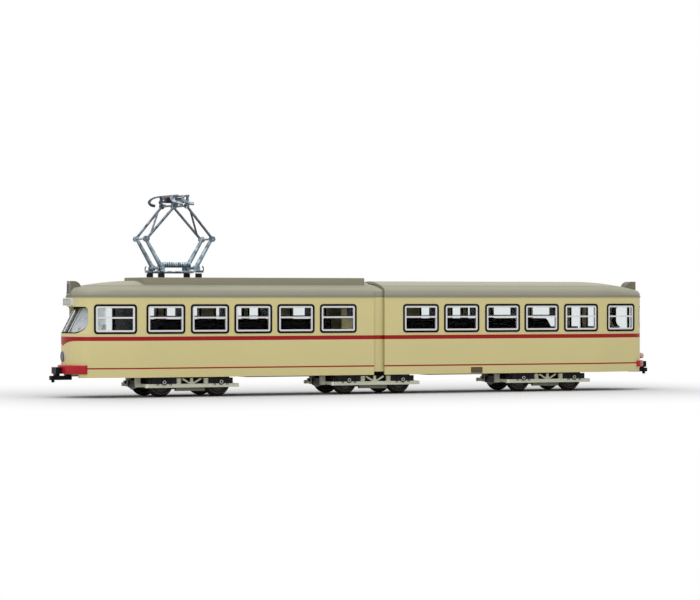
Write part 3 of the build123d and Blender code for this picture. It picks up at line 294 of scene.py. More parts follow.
def moulded(name, shade, roughness=0.42, contrast=0.12, gloss=0.3):
    """Injection-moulded plastic with a fine grain and slightly uneven gloss."""
    graph = Graph(name)
    clouds = graph.noise(MOULD_CLOUDS, 4)
    fine = graph.noise(MOULD_GRAIN, 3)
    tone = graph.mottled(clouds, shade, 1 - contrast, 1 + contrast)
    tone = graph.mix(fine * GRAIN_WEIGHT, tone, shaded(shade, GRAIN_SHADE))
    return graph.surface(
        tone, Roughness=clouds * GLOSS_SPREAD + (roughness - GLOSS_SPREAD / 2), IOR=PLASTIC_IOR,
        Specular_IOR_Level=gloss, Normal=graph.bump(fine, MOULD_RELIEF),
    )


# Body paint: clouds drawn out along the body, and a fine grain
PAINT_CLOUDS = 0.009
PAINT_STRETCH = (0.4, 1.0, 1.0)
PAINT_GRAIN = 0.0002
PAINT_RELIEF = 0.000006
PAINT_GRAIN_WEIGHT = 0.12
PAINT_GRAIN_SHADE = 0.86
CREAM_SPREAD = (0.965, 1.03)
BAND_SPREAD = (0.92, 1.06)
PAINT_ROUGHNESS = 0.36
PAINT_ROUGHNESS_SPREAD = 0.1

# Where the band dips on the nose, depth of the door grooves below the wall, and the hatch in the rear skirt
BAND_POINT_X = -0.105
GROOVE_DEPTH = (0.0002, 0.00045)
GROOVE_WEIGHT = 0.8
HATCH_X = (0.0366, 0.0412)
HATCH_Z = (0.0070, 0.0091)
HATCH_RIM = 0.00025
HATCH_RIM_SHADE = 0.6


def body_paint(name, colours, livery, with_line=True, with_point=False, with_hatch=False):
    """Cream body plastic with printed bands."""
    graph = Graph(name)
    x, y, z = graph.axes()
    clouds = graph.noise(PAINT_CLOUDS, 3, PAINT_STRETCH)
    fine = graph.noise(PAINT_GRAIN, 2)
    cream = tuple(colours.cream)
    tone = graph.mottled(clouds, cream, *CREAM_SPREAD)
    tone = graph.mix(fine * PAINT_GRAIN_WEIGHT, tone, shaded(cream, PAINT_GRAIN_SHADE))
    low = livery.band_low
    if with_point:
        reach = graph.node(
            "ShaderNodeMapRange", {"clamp": True}, {0: abs(y), 1: 0.0, 2: livery.point_reach, 3: 1.0, 4: 0.0}
        )
        nose = 1 - graph.step(x, BAND_POINT_X)
        drop = (reach ** 2.0) * nose * livery.point_depth
        band = graph.step(z + drop, low) * (1 - graph.step(z, livery.band_high))
    else:
        band = graph.span(z, low, livery.band_high)
    tone = graph.mix(band, tone, graph.mottled(clouds, tuple(colours.band), *BAND_SPREAD))
    if with_line:
        half = livery.line_width / 2
        line = graph.span(z, livery.line_middle - half, livery.line_middle + half)
        tone = graph.mix(line, tone, tuple(colours.line))
        taper = graph.maths("MAXIMUM", abs(x) - TAPER_X, 0.0) * TAPER_SLOPE
        groove = graph.span(WALL_Y - taper - y, *GROOVE_DEPTH)
        tone = graph.mix(groove * GROOVE_WEIGHT, tone, tuple(colours.black))
    if with_hatch:
        hatch = graph.span(x, *HATCH_X) * graph.span(z, *HATCH_Z) * (1 - graph.step(y, 0.0))
        rim = graph.span(x, HATCH_X[0] + HATCH_RIM, HATCH_X[1] - HATCH_RIM)
        rim = rim * graph.span(z, HATCH_Z[0] + HATCH_RIM, HATCH_Z[1] - HATCH_RIM)
        olive = graph.mix(rim, shaded(tuple(colours.hatch), HATCH_RIM_SHADE), tuple(colours.hatch))
        tone = graph.mix(hatch, tone, olive)
    return graph.surface(
        tone, Roughness=clouds * PAINT_ROUGHNESS_SPREAD + PAINT_ROUGHNESS, IOR=PLASTIC_IOR,
        Specular_IOR_Level=BODY_GLOSS, Normal=graph.bump(fine, PAINT_RELIEF),
    )


# Roof: where its side turns to the crown, the painted shade line under that turn, and the top of the gutter
ROOF_CROWN_Z = 0.0380
ROOF_PAINTED_SHADE_LINE_WIDTH = 0.0005
ROOF_PAINTED_SHADE_LINE_SOFT = 0.0003
ROOF_GUTTER_Z = 0.0346
ROOF_SOFT = 0.0006
# Weight and shade of the painted light on the crown, the painted shade line under it, the painted shade from
# the gutter down, and the dust
ROOF_CROWN_PAINTED_LIGHT = (0.5, 1.35)
ROOF_PAINTED_SHADE_LINE = (0.35, 0.6)
ROOF_GUTTER_PAINTED_SHADE = (0.45, 0.55)
ROOF_DUST = (0.3, 0.82)
# Streaks along the roof, and its grain
ROOF_STREAKS = 0.004
ROOF_STRETCH = (0.15, 1.0, 1.0)
ROOF_SPREAD = (0.93, 1.06)
ROOF_GRAIN = 0.00018
ROOF_RELIEF = 0.000012
ROOF_ROUGHNESS = 0.52
ROOF_ROUGHNESS_SPREAD = 0.12
ROOF_IOR = 1.46


def roof_plastic(name, shade):
    """Matt grey plastic, dustier in streaks along the roof, with painted light on its crown and painted shade
    in a line under the crown and from the gutter down.
    """
    graph = Graph(name)
    streaks = graph.noise(ROOF_STREAKS, 4, ROOF_STRETCH)
    fine = graph.noise(ROOF_GRAIN, 3)
    _, _, z = graph.axes()
    tone = graph.mottled(streaks, shade, *ROOF_SPREAD)
    # Dust from the fine grain, painted light on the crown, a painted shade line under it and painted shade
    # from the gutter down
    for mask, (weight, factor) in (
        (fine, ROOF_DUST),
        (graph.step(z, ROOF_CROWN_Z, ROOF_SOFT), ROOF_CROWN_PAINTED_LIGHT),
        (graph.span(z, ROOF_CROWN_Z - ROOF_PAINTED_SHADE_LINE_WIDTH, ROOF_CROWN_Z, ROOF_PAINTED_SHADE_LINE_SOFT), ROOF_PAINTED_SHADE_LINE),
        (1 - graph.step(z, ROOF_GUTTER_Z, ROOF_SOFT), ROOF_GUTTER_PAINTED_SHADE),
    ):
        tone = graph.mix(mask * weight, tone, shaded(shade, factor))
    return graph.surface(
        tone, Roughness=streaks * ROOF_ROUGHNESS_SPREAD + ROOF_ROUGHNESS, IOR=ROOF_IOR,
        Specular_IOR_Level=BODY_GLOSS, Normal=graph.bump(fine, ROOF_RELIEF),
    )


# Window gaskets
RUBBER_GRAIN = 0.00015
RUBBER_SPREAD = (0.7, 1.4)
RUBBER_ROUGHNESS = 0.45
RUBBER_ROUGHNESS_SPREAD = 0.2
RUBBER_IOR = 1.5
RUBBER_RELIEF = 0.000008


def rubber(name, shade):
    """Black window gasket with a faint sheen along its crown."""
    graph = Graph(name)
    fine = graph.noise(RUBBER_GRAIN, 2)
    return graph.surface(
        graph.mottled(fine, shade, *RUBBER_SPREAD),
        Roughness=fine * RUBBER_ROUGHNESS_SPREAD + RUBBER_ROUGHNESS, IOR=RUBBER_IOR,
        Specular_IOR_Level=BLACK_GLOSS, Normal=graph.bump(fine, RUBBER_RELIEF),
    )


# Silver print: its flakes and clouds
FLAKE_SIZE = 0.00012
FLAKE_SPREAD = (0.86, 1.08)
FLAKE_RELIEF = 0.000004
SILVER_CLOUDS = 0.003
SILVER_METALLIC = 0.25
SILVER_METALLIC_SPREAD = 0.1
SILVER_ROUGHNESS = 0.33
SILVER_ROUGHNESS_SPREAD = 0.15


def silver_paint(name, shade):
    """Foil-printed silver with tiny flakes."""
    graph = Graph(name)
    flakes = graph.noise(FLAKE_SIZE, 1)
    clouds = graph.noise(SILVER_CLOUDS, 2)
    return graph.surface(
        graph.mottled(flakes, shade, *FLAKE_SPREAD),
        Metallic=clouds * SILVER_METALLIC_SPREAD + SILVER_METALLIC,
        Roughness=flakes * SILVER_ROUGHNESS_SPREAD + SILVER_ROUGHNESS,
        Normal=graph.bump(flakes, FLAKE_RELIEF),
    )


# Panes: how strongly they bend light, and their smears
PANE_IOR = 1.1
SMEAR_SIZE = 0.002
SMEAR_STRETCH = (1.0, 1.0, 0.4)
SMEAR_SHADE = 0.96
SMEAR_ROUGHNESS = 0.03
# Windscreen: where it begins, where its posts stand, and the streaks in the painted reflection on its side
# panes
WINDSCREEN_X = -0.0993
WINDSCREEN_SOFT = 0.0004
SCREEN_POST_Y = 0.0042
SCREEN_POST_SOFT = 0.0002
STREAK_SIZE = 0.0016
STREAK_STRETCH = (0.3, 1.0, 0.5)
STREAK_EDGE = 0.6
STREAK_SOFT = 0.1
STREAK_SHADE = 0.4
SCREEN_REFLECTION_WEIGHT = 0.5
SCREEN_REFLECTION_WEIGHT_SPREAD = 0.3
SCREEN_REFLECTION_ROUGHNESS = 0.1
SCREEN_REFLECTION_ROUGHNESS_SPREAD = 0.2


def clear_plastic(name, shade, screen_reflection):
    """Clear moulded pane with faint smears; the side panes of the windscreen carry a painted reflection of
    the white backdrop, with darker streaks.
    """
    graph = Graph(name)
    smears = graph.noise(SMEAR_SIZE, 3, SMEAR_STRETCH)
    clear = graph.node("ShaderNodeBsdfPrincipled", inputs={
        "Base Color": graph.mix(smears, shaded(shade, SMEAR_SHADE), shade),
        "Roughness": smears * SMEAR_ROUGHNESS,
        "IOR": PANE_IOR,
        "Transmission Weight": 1.0,
    })
    streaks = graph.noise(STREAK_SIZE, 3, STREAK_STRETCH)
    lines = graph.step(streaks, STREAK_EDGE, STREAK_SOFT)
    # Painted reflection of the white backdrop on the side panes of the windscreen, with darker streaks
    pale = graph.node("ShaderNodeBsdfPrincipled", inputs={
        "Base Color": graph.mix(lines, screen_reflection, shaded(screen_reflection, STREAK_SHADE)),
        "Roughness": smears * SCREEN_REFLECTION_ROUGHNESS_SPREAD + SCREEN_REFLECTION_ROUGHNESS,
        "Specular IOR Level": BODY_GLOSS,
    })
    x, y, _ = graph.axes()
    nose = 1 - graph.step(x, WINDSCREEN_X, WINDSCREEN_SOFT)
    nose = nose * graph.step(abs(y), SCREEN_POST_Y, SCREEN_POST_SOFT)
    nose = nose * (streaks * SCREEN_REFLECTION_WEIGHT_SPREAD + SCREEN_REFLECTION_WEIGHT)
    total = graph.node("ShaderNodeMixShader", inputs={0: nose, 1: clear, 2: pale})
    graph.node("ShaderNodeOutputMaterial", inputs={"Surface": total})
    return graph.material


# Parts of a bogie that stay ivory: outside this distance, under this height, and the end posts
IVORY_OUTER_Y = 0.0102
IVORY_BOW_Z = 0.00315
IVORY_BOW_SOFT = 0.0002
END_POST_Y = 0.0040
END_POST_X = 0.0161
# Painted shade on the bow under the side bars, painted light on the end posts, and the clouds and grain of
# the moulding
BOW_PAINTED_SHADE = 0.34
END_POST_PAINTED_LIGHT = 1.3
BOGIE_CLOUDS = 0.0025
BOGIE_SPREAD = (0.86, 1.05)
BOGIE_GRAIN = 0.0004
BOGIE_RELIEF = 0.00002
BOGIE_ROUGHNESS = 0.4


def bogie_plastic(name, colours, centre_x):
    """Ivory bogie moulding, painted black as shade in the depth between the wheels, with painted shade under
    its side bars and painted light on its end posts.
    """
    graph = Graph(name)
    x, y, z = graph.axes()
    clouds = graph.noise(BOGIE_CLOUDS, 4)
    fine = graph.noise(BOGIE_GRAIN, 3)
    ivory = tuple(colours.ivory)
    tone = graph.mottled(clouds, ivory, *BOGIE_SPREAD)
    # Painted shade on the bow under the side bars
    tone = graph.mix(1 - graph.step(z, IVORY_BOW_Z, IVORY_BOW_SOFT), tone, shaded(ivory, BOW_PAINTED_SHADE))
    across = abs(y)
    posts = graph.step(across, END_POST_Y) * graph.step(centre_x - END_POST_X - x, 0.0)
    # Painted light on the end posts
    tone = graph.mix(posts, tone, shaded(ivory, END_POST_PAINTED_LIGHT))
    # Ivory where lit; black as painted shade in the depth between the wheels
    lit = graph.maths("MAXIMUM", graph.step(across, IVORY_OUTER_Y), posts)
    lit = graph.maths("MAXIMUM", lit, 1 - graph.step(z, IVORY_BOW_Z))
    return graph.surface(
        graph.mix(lit, tuple(colours.black), tone),
        Roughness=clouds * GLOSS_SPREAD + BOGIE_ROUGHNESS, IOR=PLASTIC_IOR,
        Specular_IOR_Level=BODY_GLOSS, Normal=graph.bump(fine, BOGIE_RELIEF),
    )


# Wheels: radii of the rings, measured from the axle, and their grime
RIM_RADIUS = 0.0033
TREAD_RADIUS = 0.00405
RING_SOFT = 0.0001
# Lighter, more metallic ring on the tread: worn metal, partly a painted highlight
TREAD_WEAR_AND_HIGHLIGHT_COLOUR = (0.30, 0.28, 0.26)
TREAD_WEAR_AND_HIGHLIGHT_WEIGHT = 0.35
TREAD_METALLIC = 0.6
GRIME_SIZE = 0.0012
WHEEL_GRAIN = 0.0002
WHEEL_RELIEF = 0.00001
DISC_SPREAD = (0.7, 1.1)
RIM_SPREAD = (0.55, 1.15)
WHEEL_METALLIC = 0.1
WHEEL_ROUGHNESS = 0.42
WHEEL_ROUGHNESS_SPREAD = 0.25


def turned_wheel(name, colours):
    """Blackened wheel with a grey disc, a dark brown tyre and a worn tread whose lighter ring is partly a
    painted highlight.
    """
    graph = Graph(name)
    x, _, z = graph.axes()
    along = abs(x)
    steps = [abs(along - place) for place in WHEEL_X]
    nearest = graph.maths("MINIMUM", steps[0], graph.maths("MINIMUM", steps[1], steps[2]))
    radius = (nearest * nearest + (z - AXLE_Z) * (z - AXLE_Z)) ** 0.5
    grime = graph.noise(GRIME_SIZE, 4)
    fine = graph.noise(WHEEL_GRAIN, 2)
    disc = graph.mottled(grime, tuple(colours.disc), *DISC_SPREAD)
    rim = graph.mottled(grime, tuple(colours.rim), *RIM_SPREAD)
    tone = graph.mix(graph.step(radius, RIM_RADIUS, RING_SOFT), disc, rim)
    tread = graph.span(radius, TREAD_RADIUS - RING_SOFT, TREAD_RADIUS + RING_SOFT, RING_SOFT)
    return graph.surface(
        graph.mix(tread * TREAD_WEAR_AND_HIGHLIGHT_WEIGHT, tone, TREAD_WEAR_AND_HIGHLIGHT_COLOUR),
        Metallic=tread * TREAD_METALLIC + WHEEL_METALLIC,
        Roughness=grime * WHEEL_ROUGHNESS_SPREAD + WHEEL_ROUGHNESS,
        Specular_IOR_Level=BLACK_GLOSS, Normal=graph.bump(fine, WHEEL_RELIEF),
    )


# Steel: patches of plating, and painted shade on its undersides
PATCH_SIZE = 0.0015
PATCH_EDGE = 0.5
PATCH_SOFT = 0.3
PATCH_SPREAD = (0.38, 1.45)
UNDERSIDE_EDGE = -0.1
UNDERSIDE_SOFT = 0.9
UNDERSIDE_PAINTED_SHADE = 0.3
STEEL_GRAIN = 0.00012
STEEL_RELIEF = 0.000005
STEEL_METALLIC = 0.45
STEEL_ROUGHNESS = 0.26
STEEL_VARIATION = 0.2


def drawn_steel(name, shade):
    """Plated steel wire and etched sheet of the collector, with painted shade on the faces turned down."""
    graph = Graph(name)
    patches = graph.noise(PATCH_SIZE, 3)
    fine = graph.noise(STEEL_GRAIN, 2)
    tone = graph.mottled(graph.step(patches, PATCH_EDGE, PATCH_SOFT), shade, *PATCH_SPREAD)
    up = graph.parts(graph.node("ShaderNodeNewGeometry", output="Normal"))[2]
    # Painted shade on the faces that turn down
    below = 1 - graph.step(up, UNDERSIDE_EDGE, UNDERSIDE_SOFT)
    return graph.surface(
        graph.mix(below, tone, shaded(shade, UNDERSIDE_PAINTED_SHADE)),
        Metallic=patches * STEEL_VARIATION + STEEL_METALLIC,
        Roughness=fine * STEEL_VARIATION + STEEL_ROUGHNESS, Normal=graph.bump(fine, STEEL_RELIEF),
    )


# Lamp lenses and number panes
LENS_GRAIN = 0.0006
LENS_SPREAD = (0.7, 1.5)
LENS_VARIATION = 0.1
LENS_ROUGHNESS = 0.2
LENS_RELIEF = 0.00001


def lamp_glass(name, shade):
    """Dark lens with a thin clear coat."""
    graph = Graph(name)
    fine = graph.noise(LENS_GRAIN, 2)
    return graph.surface(
        graph.mottled(fine, shade, *LENS_SPREAD),
        Roughness=fine * LENS_VARIATION + LENS_ROUGHNESS, Coat_Weight=fine * LENS_VARIATION,
        Specular_IOR_Level=BODY_GLOSS, Normal=graph.bump(fine, LENS_RELIEF),
    )


# Blank field of the display, inside its frame
DISPLAY_FIELD_Y = 0.0038
DISPLAY_FIELD_Z = (0.03135, 0.0332)
DISPLAY_FRAME = 0.0002
DISPLAY_FRAME_SHADE = 0.28
DISPLAY_CASE_SPREAD = (0.93, 1.04)
DISPLAY_FIELD_SPREAD = (0.62, 0.74)
DISPLAY_CLOUDS = 0.002
DISPLAY_GRAIN = 0.0002
DISPLAY_RELIEF = 0.000004
DISPLAY_ROUGHNESS = 0.3
DISPLAY_ROUGHNESS_SPREAD = 0.12


def display_plastic(name, shade):
    """Pale display case with a framed field left blank."""
    graph = Graph(name)
    _, y, z = graph.axes()
    clouds = graph.noise(DISPLAY_CLOUDS, 2)
    fine = graph.noise(DISPLAY_GRAIN, 2)
    low, high = DISPLAY_FIELD_Z
    field = (1 - graph.step(abs(y), DISPLAY_FIELD_Y)) * graph.span(z, low, high)
    inner = 1 - graph.step(abs(y), DISPLAY_FIELD_Y - DISPLAY_FRAME)
    inner = inner * graph.span(z, low + DISPLAY_FRAME, high - DISPLAY_FRAME)
    tone = graph.mottled(clouds, shade, *DISPLAY_CASE_SPREAD)
    tone = graph.mix(field, tone, shaded(shade, DISPLAY_FRAME_SHADE))
    tone = graph.mix(inner, tone, graph.mottled(clouds, shade, *DISPLAY_FIELD_SPREAD))
    return graph.surface(
        tone, Roughness=fine * DISPLAY_ROUGHNESS_SPREAD + DISPLAY_ROUGHNESS, IOR=PLASTIC_IOR,
        Specular_IOR_Level=BODY_GLOSS, Normal=graph.bump(fine, DISPLAY_RELIEF),
    )


# Added pieces are drawn in millimetres
MM = 0.001
SHARP_DEG = 35
RING_TURNS = 32
ROD_SIDES = 8
# A direction that no rod runs along
ROD_TILT = (0.31, 0.2, 0.93)
BEVEL_SHARE = 0.4
BEVEL_SEGMENTS = 2


def finished(name, form, body, material):
    """Turns a form drawn in millimetres into a piece that moves with a body."""
    bmesh.ops.recalc_face_normals(form, faces=form.faces)
    bmesh.ops.scale(form, vec=(MM, MM, MM), verts=form.verts)
    mesh = bpy.data.meshes.new(name)
    form.to_mesh(mesh)
    form.free()
    for polygon in mesh.polygons:
        polygon.use_smooth = True
    mesh.set_sharp_from_angle(angle=math.radians(SHARP_DEG))
    mesh.materials.append(material)
    piece = bpy.data.objects.new(name, mesh)
    bpy.context.scene.collection.objects.link(piece)
    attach(piece, body)


def join(form, first, second):
    """Faces between two closed loops with the same number of points."""
    for place in range(len(first)):
        beyond = (place + 1) % len(first)
        form.faces.new((first[place], first[beyond], second[beyond], second[place]))


def ring(form, centre, axis, inner, outer, start, end):
    """Ring round an axis with a rounded crown, from start to end along it."""
    shoulder = (start + end) / 2
    crown = (inner + outer) / 2
    profile = [(inner, start), (outer, start), (outer, shoulder), (crown, end), (inner, shoulder)]
    along = Vector(axis)
    side = along.orthogonal().normalized()
    up = along.cross(side)
    loops = []
    for turn in range(RING_TURNS):
        angle = math.tau * turn / RING_TURNS
        spoke = side * math.cos(angle) + up * math.sin(angle)
        points = [Vector(centre) + along * distance + spoke * radius for radius, distance in profile]
        loops.append([form.verts.new(point) for point in points])
    for turn, loop in enumerate(loops):
        join(form, loop, loops[(turn + 1) % RING_TURNS])


def block(form, *spans, bevel):
    """Box with bevelled edges over three spans, each given from either end."""
    low = Vector([min(span) for span in spans])
    high = Vector([max(span) for span in spans])
    size = high - low
    place = Matrix.Translation((high + low) / 2) @ Matrix.Diagonal((*size, 1))
    made = bmesh.ops.create_cube(form, size=1, matrix=place)
    edges = list({edge for vertex in made["verts"] for edge in vertex.link_edges})
    bmesh.ops.bevel(
        form, geom=edges, offset=min(bevel, min(size) * BEVEL_SHARE), segments=BEVEL_SEGMENTS,
        profile=0.5, affect="EDGES",
    )


def about(middle, half):
    """Span about its middle."""
    return (middle - half, middle + half)


def rod(form, points, radius):
    """Bent rod through the given points."""
    points = [Vector(point) for point in points]
    loops = []
    for place, point in enumerate(points):
        before = points[max(place - 1, 0)]
        after = points[min(place + 1, len(points) - 1)]
        along = (after - before).normalized()
        side = along.cross(Vector(ROD_TILT)).normalized()
        up = along.cross(side)
        loop = []
        for number in range(ROD_SIDES):
            angle = math.tau * number / ROD_SIDES
            loop.append(form.verts.new(point + (side * math.cos(angle) + up * math.sin(angle)) * radius))
        loops.append(loop)
    for first, second in zip(loops, loops[1:]):
        join(form, first, second)
    form.faces.new(loops[0])
    form.faces.new(loops[-1])


def pane_frame(form, depth_x, middle_z):
    """Raised frame round a blank number pane that faces along X."""
    outer_y = NUMBER_HALF_Y + NUMBER_FRAME_WIDTH
    outer_z = NUMBER_HALF_Z + NUMBER_FRAME_WIDTH
    for side in (-1, 1):
        post_y = (side * NUMBER_HALF_Y, side * outer_y)
        block(form, depth_x, post_y, about(middle_z, outer_z), bevel=NUMBER_FRAME_BEVEL)
        edge = middle_z + side * NUMBER_HALF_Z
        bar_z = (edge, edge + side * NUMBER_FRAME_WIDTH)
        block(form, depth_x, about(0, NUMBER_HALF_Y), bar_z, bevel=NUMBER_FRAME_BEVEL)


def dress(node_name, material):
    """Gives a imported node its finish, keeping the node as it is."""
    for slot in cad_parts[node_name].material_slots:
        slot.material = material


def dress_all(*pairs):
    """Gives nodes, named in one string with spaces between them, their finishes."""
    for names, material in pairs:
        for node_name in names.split():
            dress(node_name, material)


# How strongly black and dark grey plastics are mottled
DARK_CONTRAST = 0.3
PANEL_CONTRAST = 0.25


class TRAM_OT_paint_body(bpy.types.Operator):
    """Paint the shells, the joint drum and the roofs"""

    bl_idname = "tram.paint_body"
    bl_label = "Paint Body"

    def execute(self, context):
        colours = context.scene.tram_colours
        livery = context.scene.tram_livery
        dress_all(
            ("front_shell", body_paint("front_body_paint", colours, livery, with_point=True)),
            ("rear_shell", body_paint("rear_body_paint", colours, livery, with_hatch=True)),
            ("drum_wall", body_paint("drum_paint", colours, livery, with_line=False)),
            ("front_roof rear_roof drum_roof", roof_plastic("roof_plastic_finish", tuple(colours.roof))),
            ("roof_board", roof_plastic("board_plastic_finish", tuple(colours.board))),
        )
        return {"FINISHED"}


class TRAM_OT_paint_windows(bpy.types.Operator):
    """Finish the gaskets, frames and panes"""

    bl_idname = "tram.paint_windows"
    bl_label = "Paint Windows"

    def execute(self, context):
        colours = context.scene.tram_colours
        panes = clear_plastic("pane_plastic", tuple(colours.glass), tuple(colours.screen_reflection))
        dress_all(
            ("front_gaskets rear_gaskets", rubber("gasket_rubber", tuple(colours.rubber))),
            ("front_frames rear_frames", silver_paint("frame_silver", tuple(colours.silver))),
            ("front_glazing rear_glazing", panes),
        )
        return {"FINISHED"}


class TRAM_OT_paint_interior(bpy.types.Operator):
    """Finish the chassis and what shows through the windows"""

    bl_idname = "tram.paint_interior"
    bl_label = "Paint Interior"

    def execute(self, context):
        colours = context.scene.tram_colours
        black = moulded("black_plastic_finish", tuple(colours.black), 0.5, DARK_CONTRAST, BLACK_GLOSS)
        cast = moulded("cast_weight", tuple(colours.weight), 0.6, DARK_CONTRAST, WEIGHT_GLOSS)
        dress_all(
            ("front_chassis rear_chassis cab_partition rear_seats", black),
            ("motor_block weight_block", cast),
        )
        return {"FINISHED"}


class TRAM_OT_paint_ends(bpy.types.Operator):
    """Finish the bumpers, couplers, lamps, number boxes and the blank display"""

    bl_idname = "tram.paint_ends"
    bl_label = "Paint Ends"

    def execute(self, context):
        colours = context.scene.tram_colours
        black = moulded("coupler_black", tuple(colours.black), 0.45, DARK_CONTRAST, BLACK_GLOSS)
        dress_all(
            ("front_bumper rear_bumper", moulded("bumper_red", tuple(colours.bumper), 0.35)),
            ("front_coupler rear_coupler", black),
            ("destination_display", display_plastic("display_finish", tuple(colours.white))),
            ("headlight", lamp_glass("headlight_glass", tuple(colours.lamp))),
            ("tail_lamps", lamp_glass("tail_lamp_glass", tuple(colours.tail))),
            ("front_number_box rear_number_box", moulded("number_box_grey", tuple(colours.box), 0.45)),
        )
        return {"FINISHED"}


class TRAM_OT_paint_running_gear(bpy.types.Operator):
    """Finish the bogies and the wheels"""

    bl_idname = "tram.paint_running_gear"
    bl_label = "Paint Running Gear"

    def execute(self, context):
        colours = context.scene.tram_colours
        panel = moulded("axle_box_grey", tuple(colours.panel), 0.5, PANEL_CONTRAST, BLACK_GLOSS)
        wheel = turned_wheel("wheel_finish", colours)
        for place in ("front", "middle", "rear"):
            ivory = bogie_plastic(f"{place}_bogie_ivory", colours, BOGIE_X[place])
            dress(f"{place}_bogie_frame", ivory)
            dress(f"{place}_axle_boxes", panel)
            for number in (1, 2):
                dress(f"{place}_wheelset_{number}", wheel)
        return {"FINISHED"}


class TRAM_OT_paint_collector(bpy.types.Operator):
    """Finish the current collector"""

    bl_idname = "tram.paint_collector"
    bl_label = "Paint Collector"

    def execute(self, context):
        colours = context.scene.tram_colours
        bright = drawn_steel("collector_bright_steel", tuple(colours.bright))
        steel = drawn_steel("collector_steel", tuple(colours.steel))
        dress_all(
            ("pantograph_base pantograph_springs lower_arm_front lower_arm_rear", bright),
            ("upper_frame_front upper_frame_rear collector_head", steel),
            ("pantograph_feet", moulded("insulator_black", tuple(colours.panel), 0.3, gloss=BLACK_GLOSS)),
        )
        return {"FINISHED"}


# Axle boxes: where their caps stand about the bogie's middle. Rings are inner and outer radius, start and end
CAP_X = 10.35
CAP_Y = 12.55
CAP_Z = 5.05
CAP_RING = (0.36, 0.66, -0.05, 0.16)
BOX_RING = (0.84, 1.0, -0.05, 0.12)
RIBS_X = (-2.6, -2.05, 2.05, 2.6)
RIB_HALF_X = 0.12
RIB_Y = (12.2, 12.4)
RIB_Z = (4.0, 6.2)
RIB_BEVEL = 0.06


class TRAM_OT_add_axle_caps(bpy.types.Operator):
    """Add the rings and ribs on the axle boxes"""

    bl_idname = "tram.add_axle_caps"
    bl_label = "Add Axle Caps"

    def execute(self, context):
        colours = context.scene.tram_colours
        pale = moulded("axle_cap_ring", tuple(colours.ring), 0.4)
        dark = moulded("axle_box_rib", tuple(colours.panel), 0.5, PANEL_CONTRAST, BLACK_GLOSS)
        for place, centre_x in BOGIE_X.items():
            rings = bmesh.new()
            ribs = bmesh.new()
            for side in (-1, 1):
                for axle in (-1, 1):
                    x = centre_x / MM + axle * CAP_X
                    centre = (x, side * CAP_Y, CAP_Z)
                    ring(rings, centre, (0, side, 0), *CAP_RING)
                    ring(ribs, centre, (0, side, 0), *BOX_RING)
                    for rib in RIBS_X:
                        depth_y = [side * y for y in RIB_Y]
                        block(ribs, about(x + rib, RIB_HALF_X), depth_y, RIB_Z, bevel=RIB_BEVEL)
            finished(f"{place}_axle_cap_rings", rings, f"{place}_bogie", pale)
            finished(f"{place}_axle_box_ribs", ribs, f"{place}_bogie", dark)
        return {"FINISHED"}


# Lamps, and the faces of the number boxes with the way they look
HEADLIGHT_CENTRE = (-110.6, 0, 13.9)
HEADLIGHT_RING = (1.55, 1.95, -0.4, 0.45)
TAIL_LAMP_CENTRE = (110.9, 5.2, 12.4)
TAIL_LAMP_RING = (0.84, 1.05, -0.4, 0.5)
NUMBER_BOXES = (
    ("front", "front_section", -108.7, -1, 36.75),
    ("rear", "rear_section", 110.5, 1, 36.85),
)
NUMBER_HALF_Y = 1.5
NUMBER_HALF_Z = 1.75
NUMBER_FRAME_WIDTH = 0.25
NUMBER_FRAME_DEPTH = 0.2
NUMBER_FRAME_BEVEL = 0.08
NUMBER_PANE_LAP = 0.02
NUMBER_PANE_DEPTH = 0.08
NUMBER_PANE_BEVEL = 0.03


class TRAM_OT_add_end_details(bpy.types.Operator):
    """Add the lamp rings and the blank number panes"""

    bl_idname = "tram.add_end_details"
    bl_label = "Add End Details"

    def execute(self, context):
        colours = context.scene.tram_colours
        pale = moulded("lamp_ring_finish", tuple(colours.ring), 0.35)
        glossy = lamp_glass("number_pane_finish", tuple(colours.pane))
        grey = moulded("number_frame_finish", tuple(colours.ring), 0.4)
        lamp = bmesh.new()
        ring(lamp, HEADLIGHT_CENTRE, (-1, 0, 0), *HEADLIGHT_RING)
        finished("headlight_ring", lamp, "front_section", pale)
        tail = bmesh.new()
        x, y, z = TAIL_LAMP_CENTRE
        for side in (-1, 1):
            ring(tail, (x, side * y, z), (1, 0, 0), *TAIL_LAMP_RING)
        finished("tail_lamp_rings", tail, "rear_section", pale)
        for name, body, face, outward, middle in NUMBER_BOXES:
            rim = bmesh.new()
            pane_frame(rim, (face, face + outward * NUMBER_FRAME_DEPTH), middle)
            finished(f"{name}_number_frame", rim, body, grey)
            pane = bmesh.new()
            block(
                pane, (face, face + outward * NUMBER_PANE_DEPTH), about(0, NUMBER_HALF_Y + NUMBER_PANE_LAP),
                about(middle, NUMBER_HALF_Z + NUMBER_PANE_LAP), bevel=NUMBER_PANE_BEVEL,
            )
            finished(f"{name}_number_pane", pane, body, glossy)
        return {"FINISHED"}


# Middles of the windows that have a ribbed post and a slim bar just inside
SECTION_WINDOWS = {
    "front_section": (-15.0, -31.0, -46.9, -62.8, -78.8),
    "rear_section": (16.9, 32.9, 49.2, 65.0),
}
# Posts, whose first rib stands POST_START beyond the window's middle, and bars
POST_RIBS = 4
POST_START = 3.9
POST_PITCH = 0.55
POST_WIDTH = 0.42
POST_DEPTH_Y = (-12.5, -11.9)
POST_HEIGHT_Z = (27.0, 30.9)
POST_BEVEL = 0.08
BAR_HALF_X = 6.2
BAR_Y = (-12.4, -12.2)
BAR_Z = (27.35, 27.6)
BAR_BEVEL = 0.05


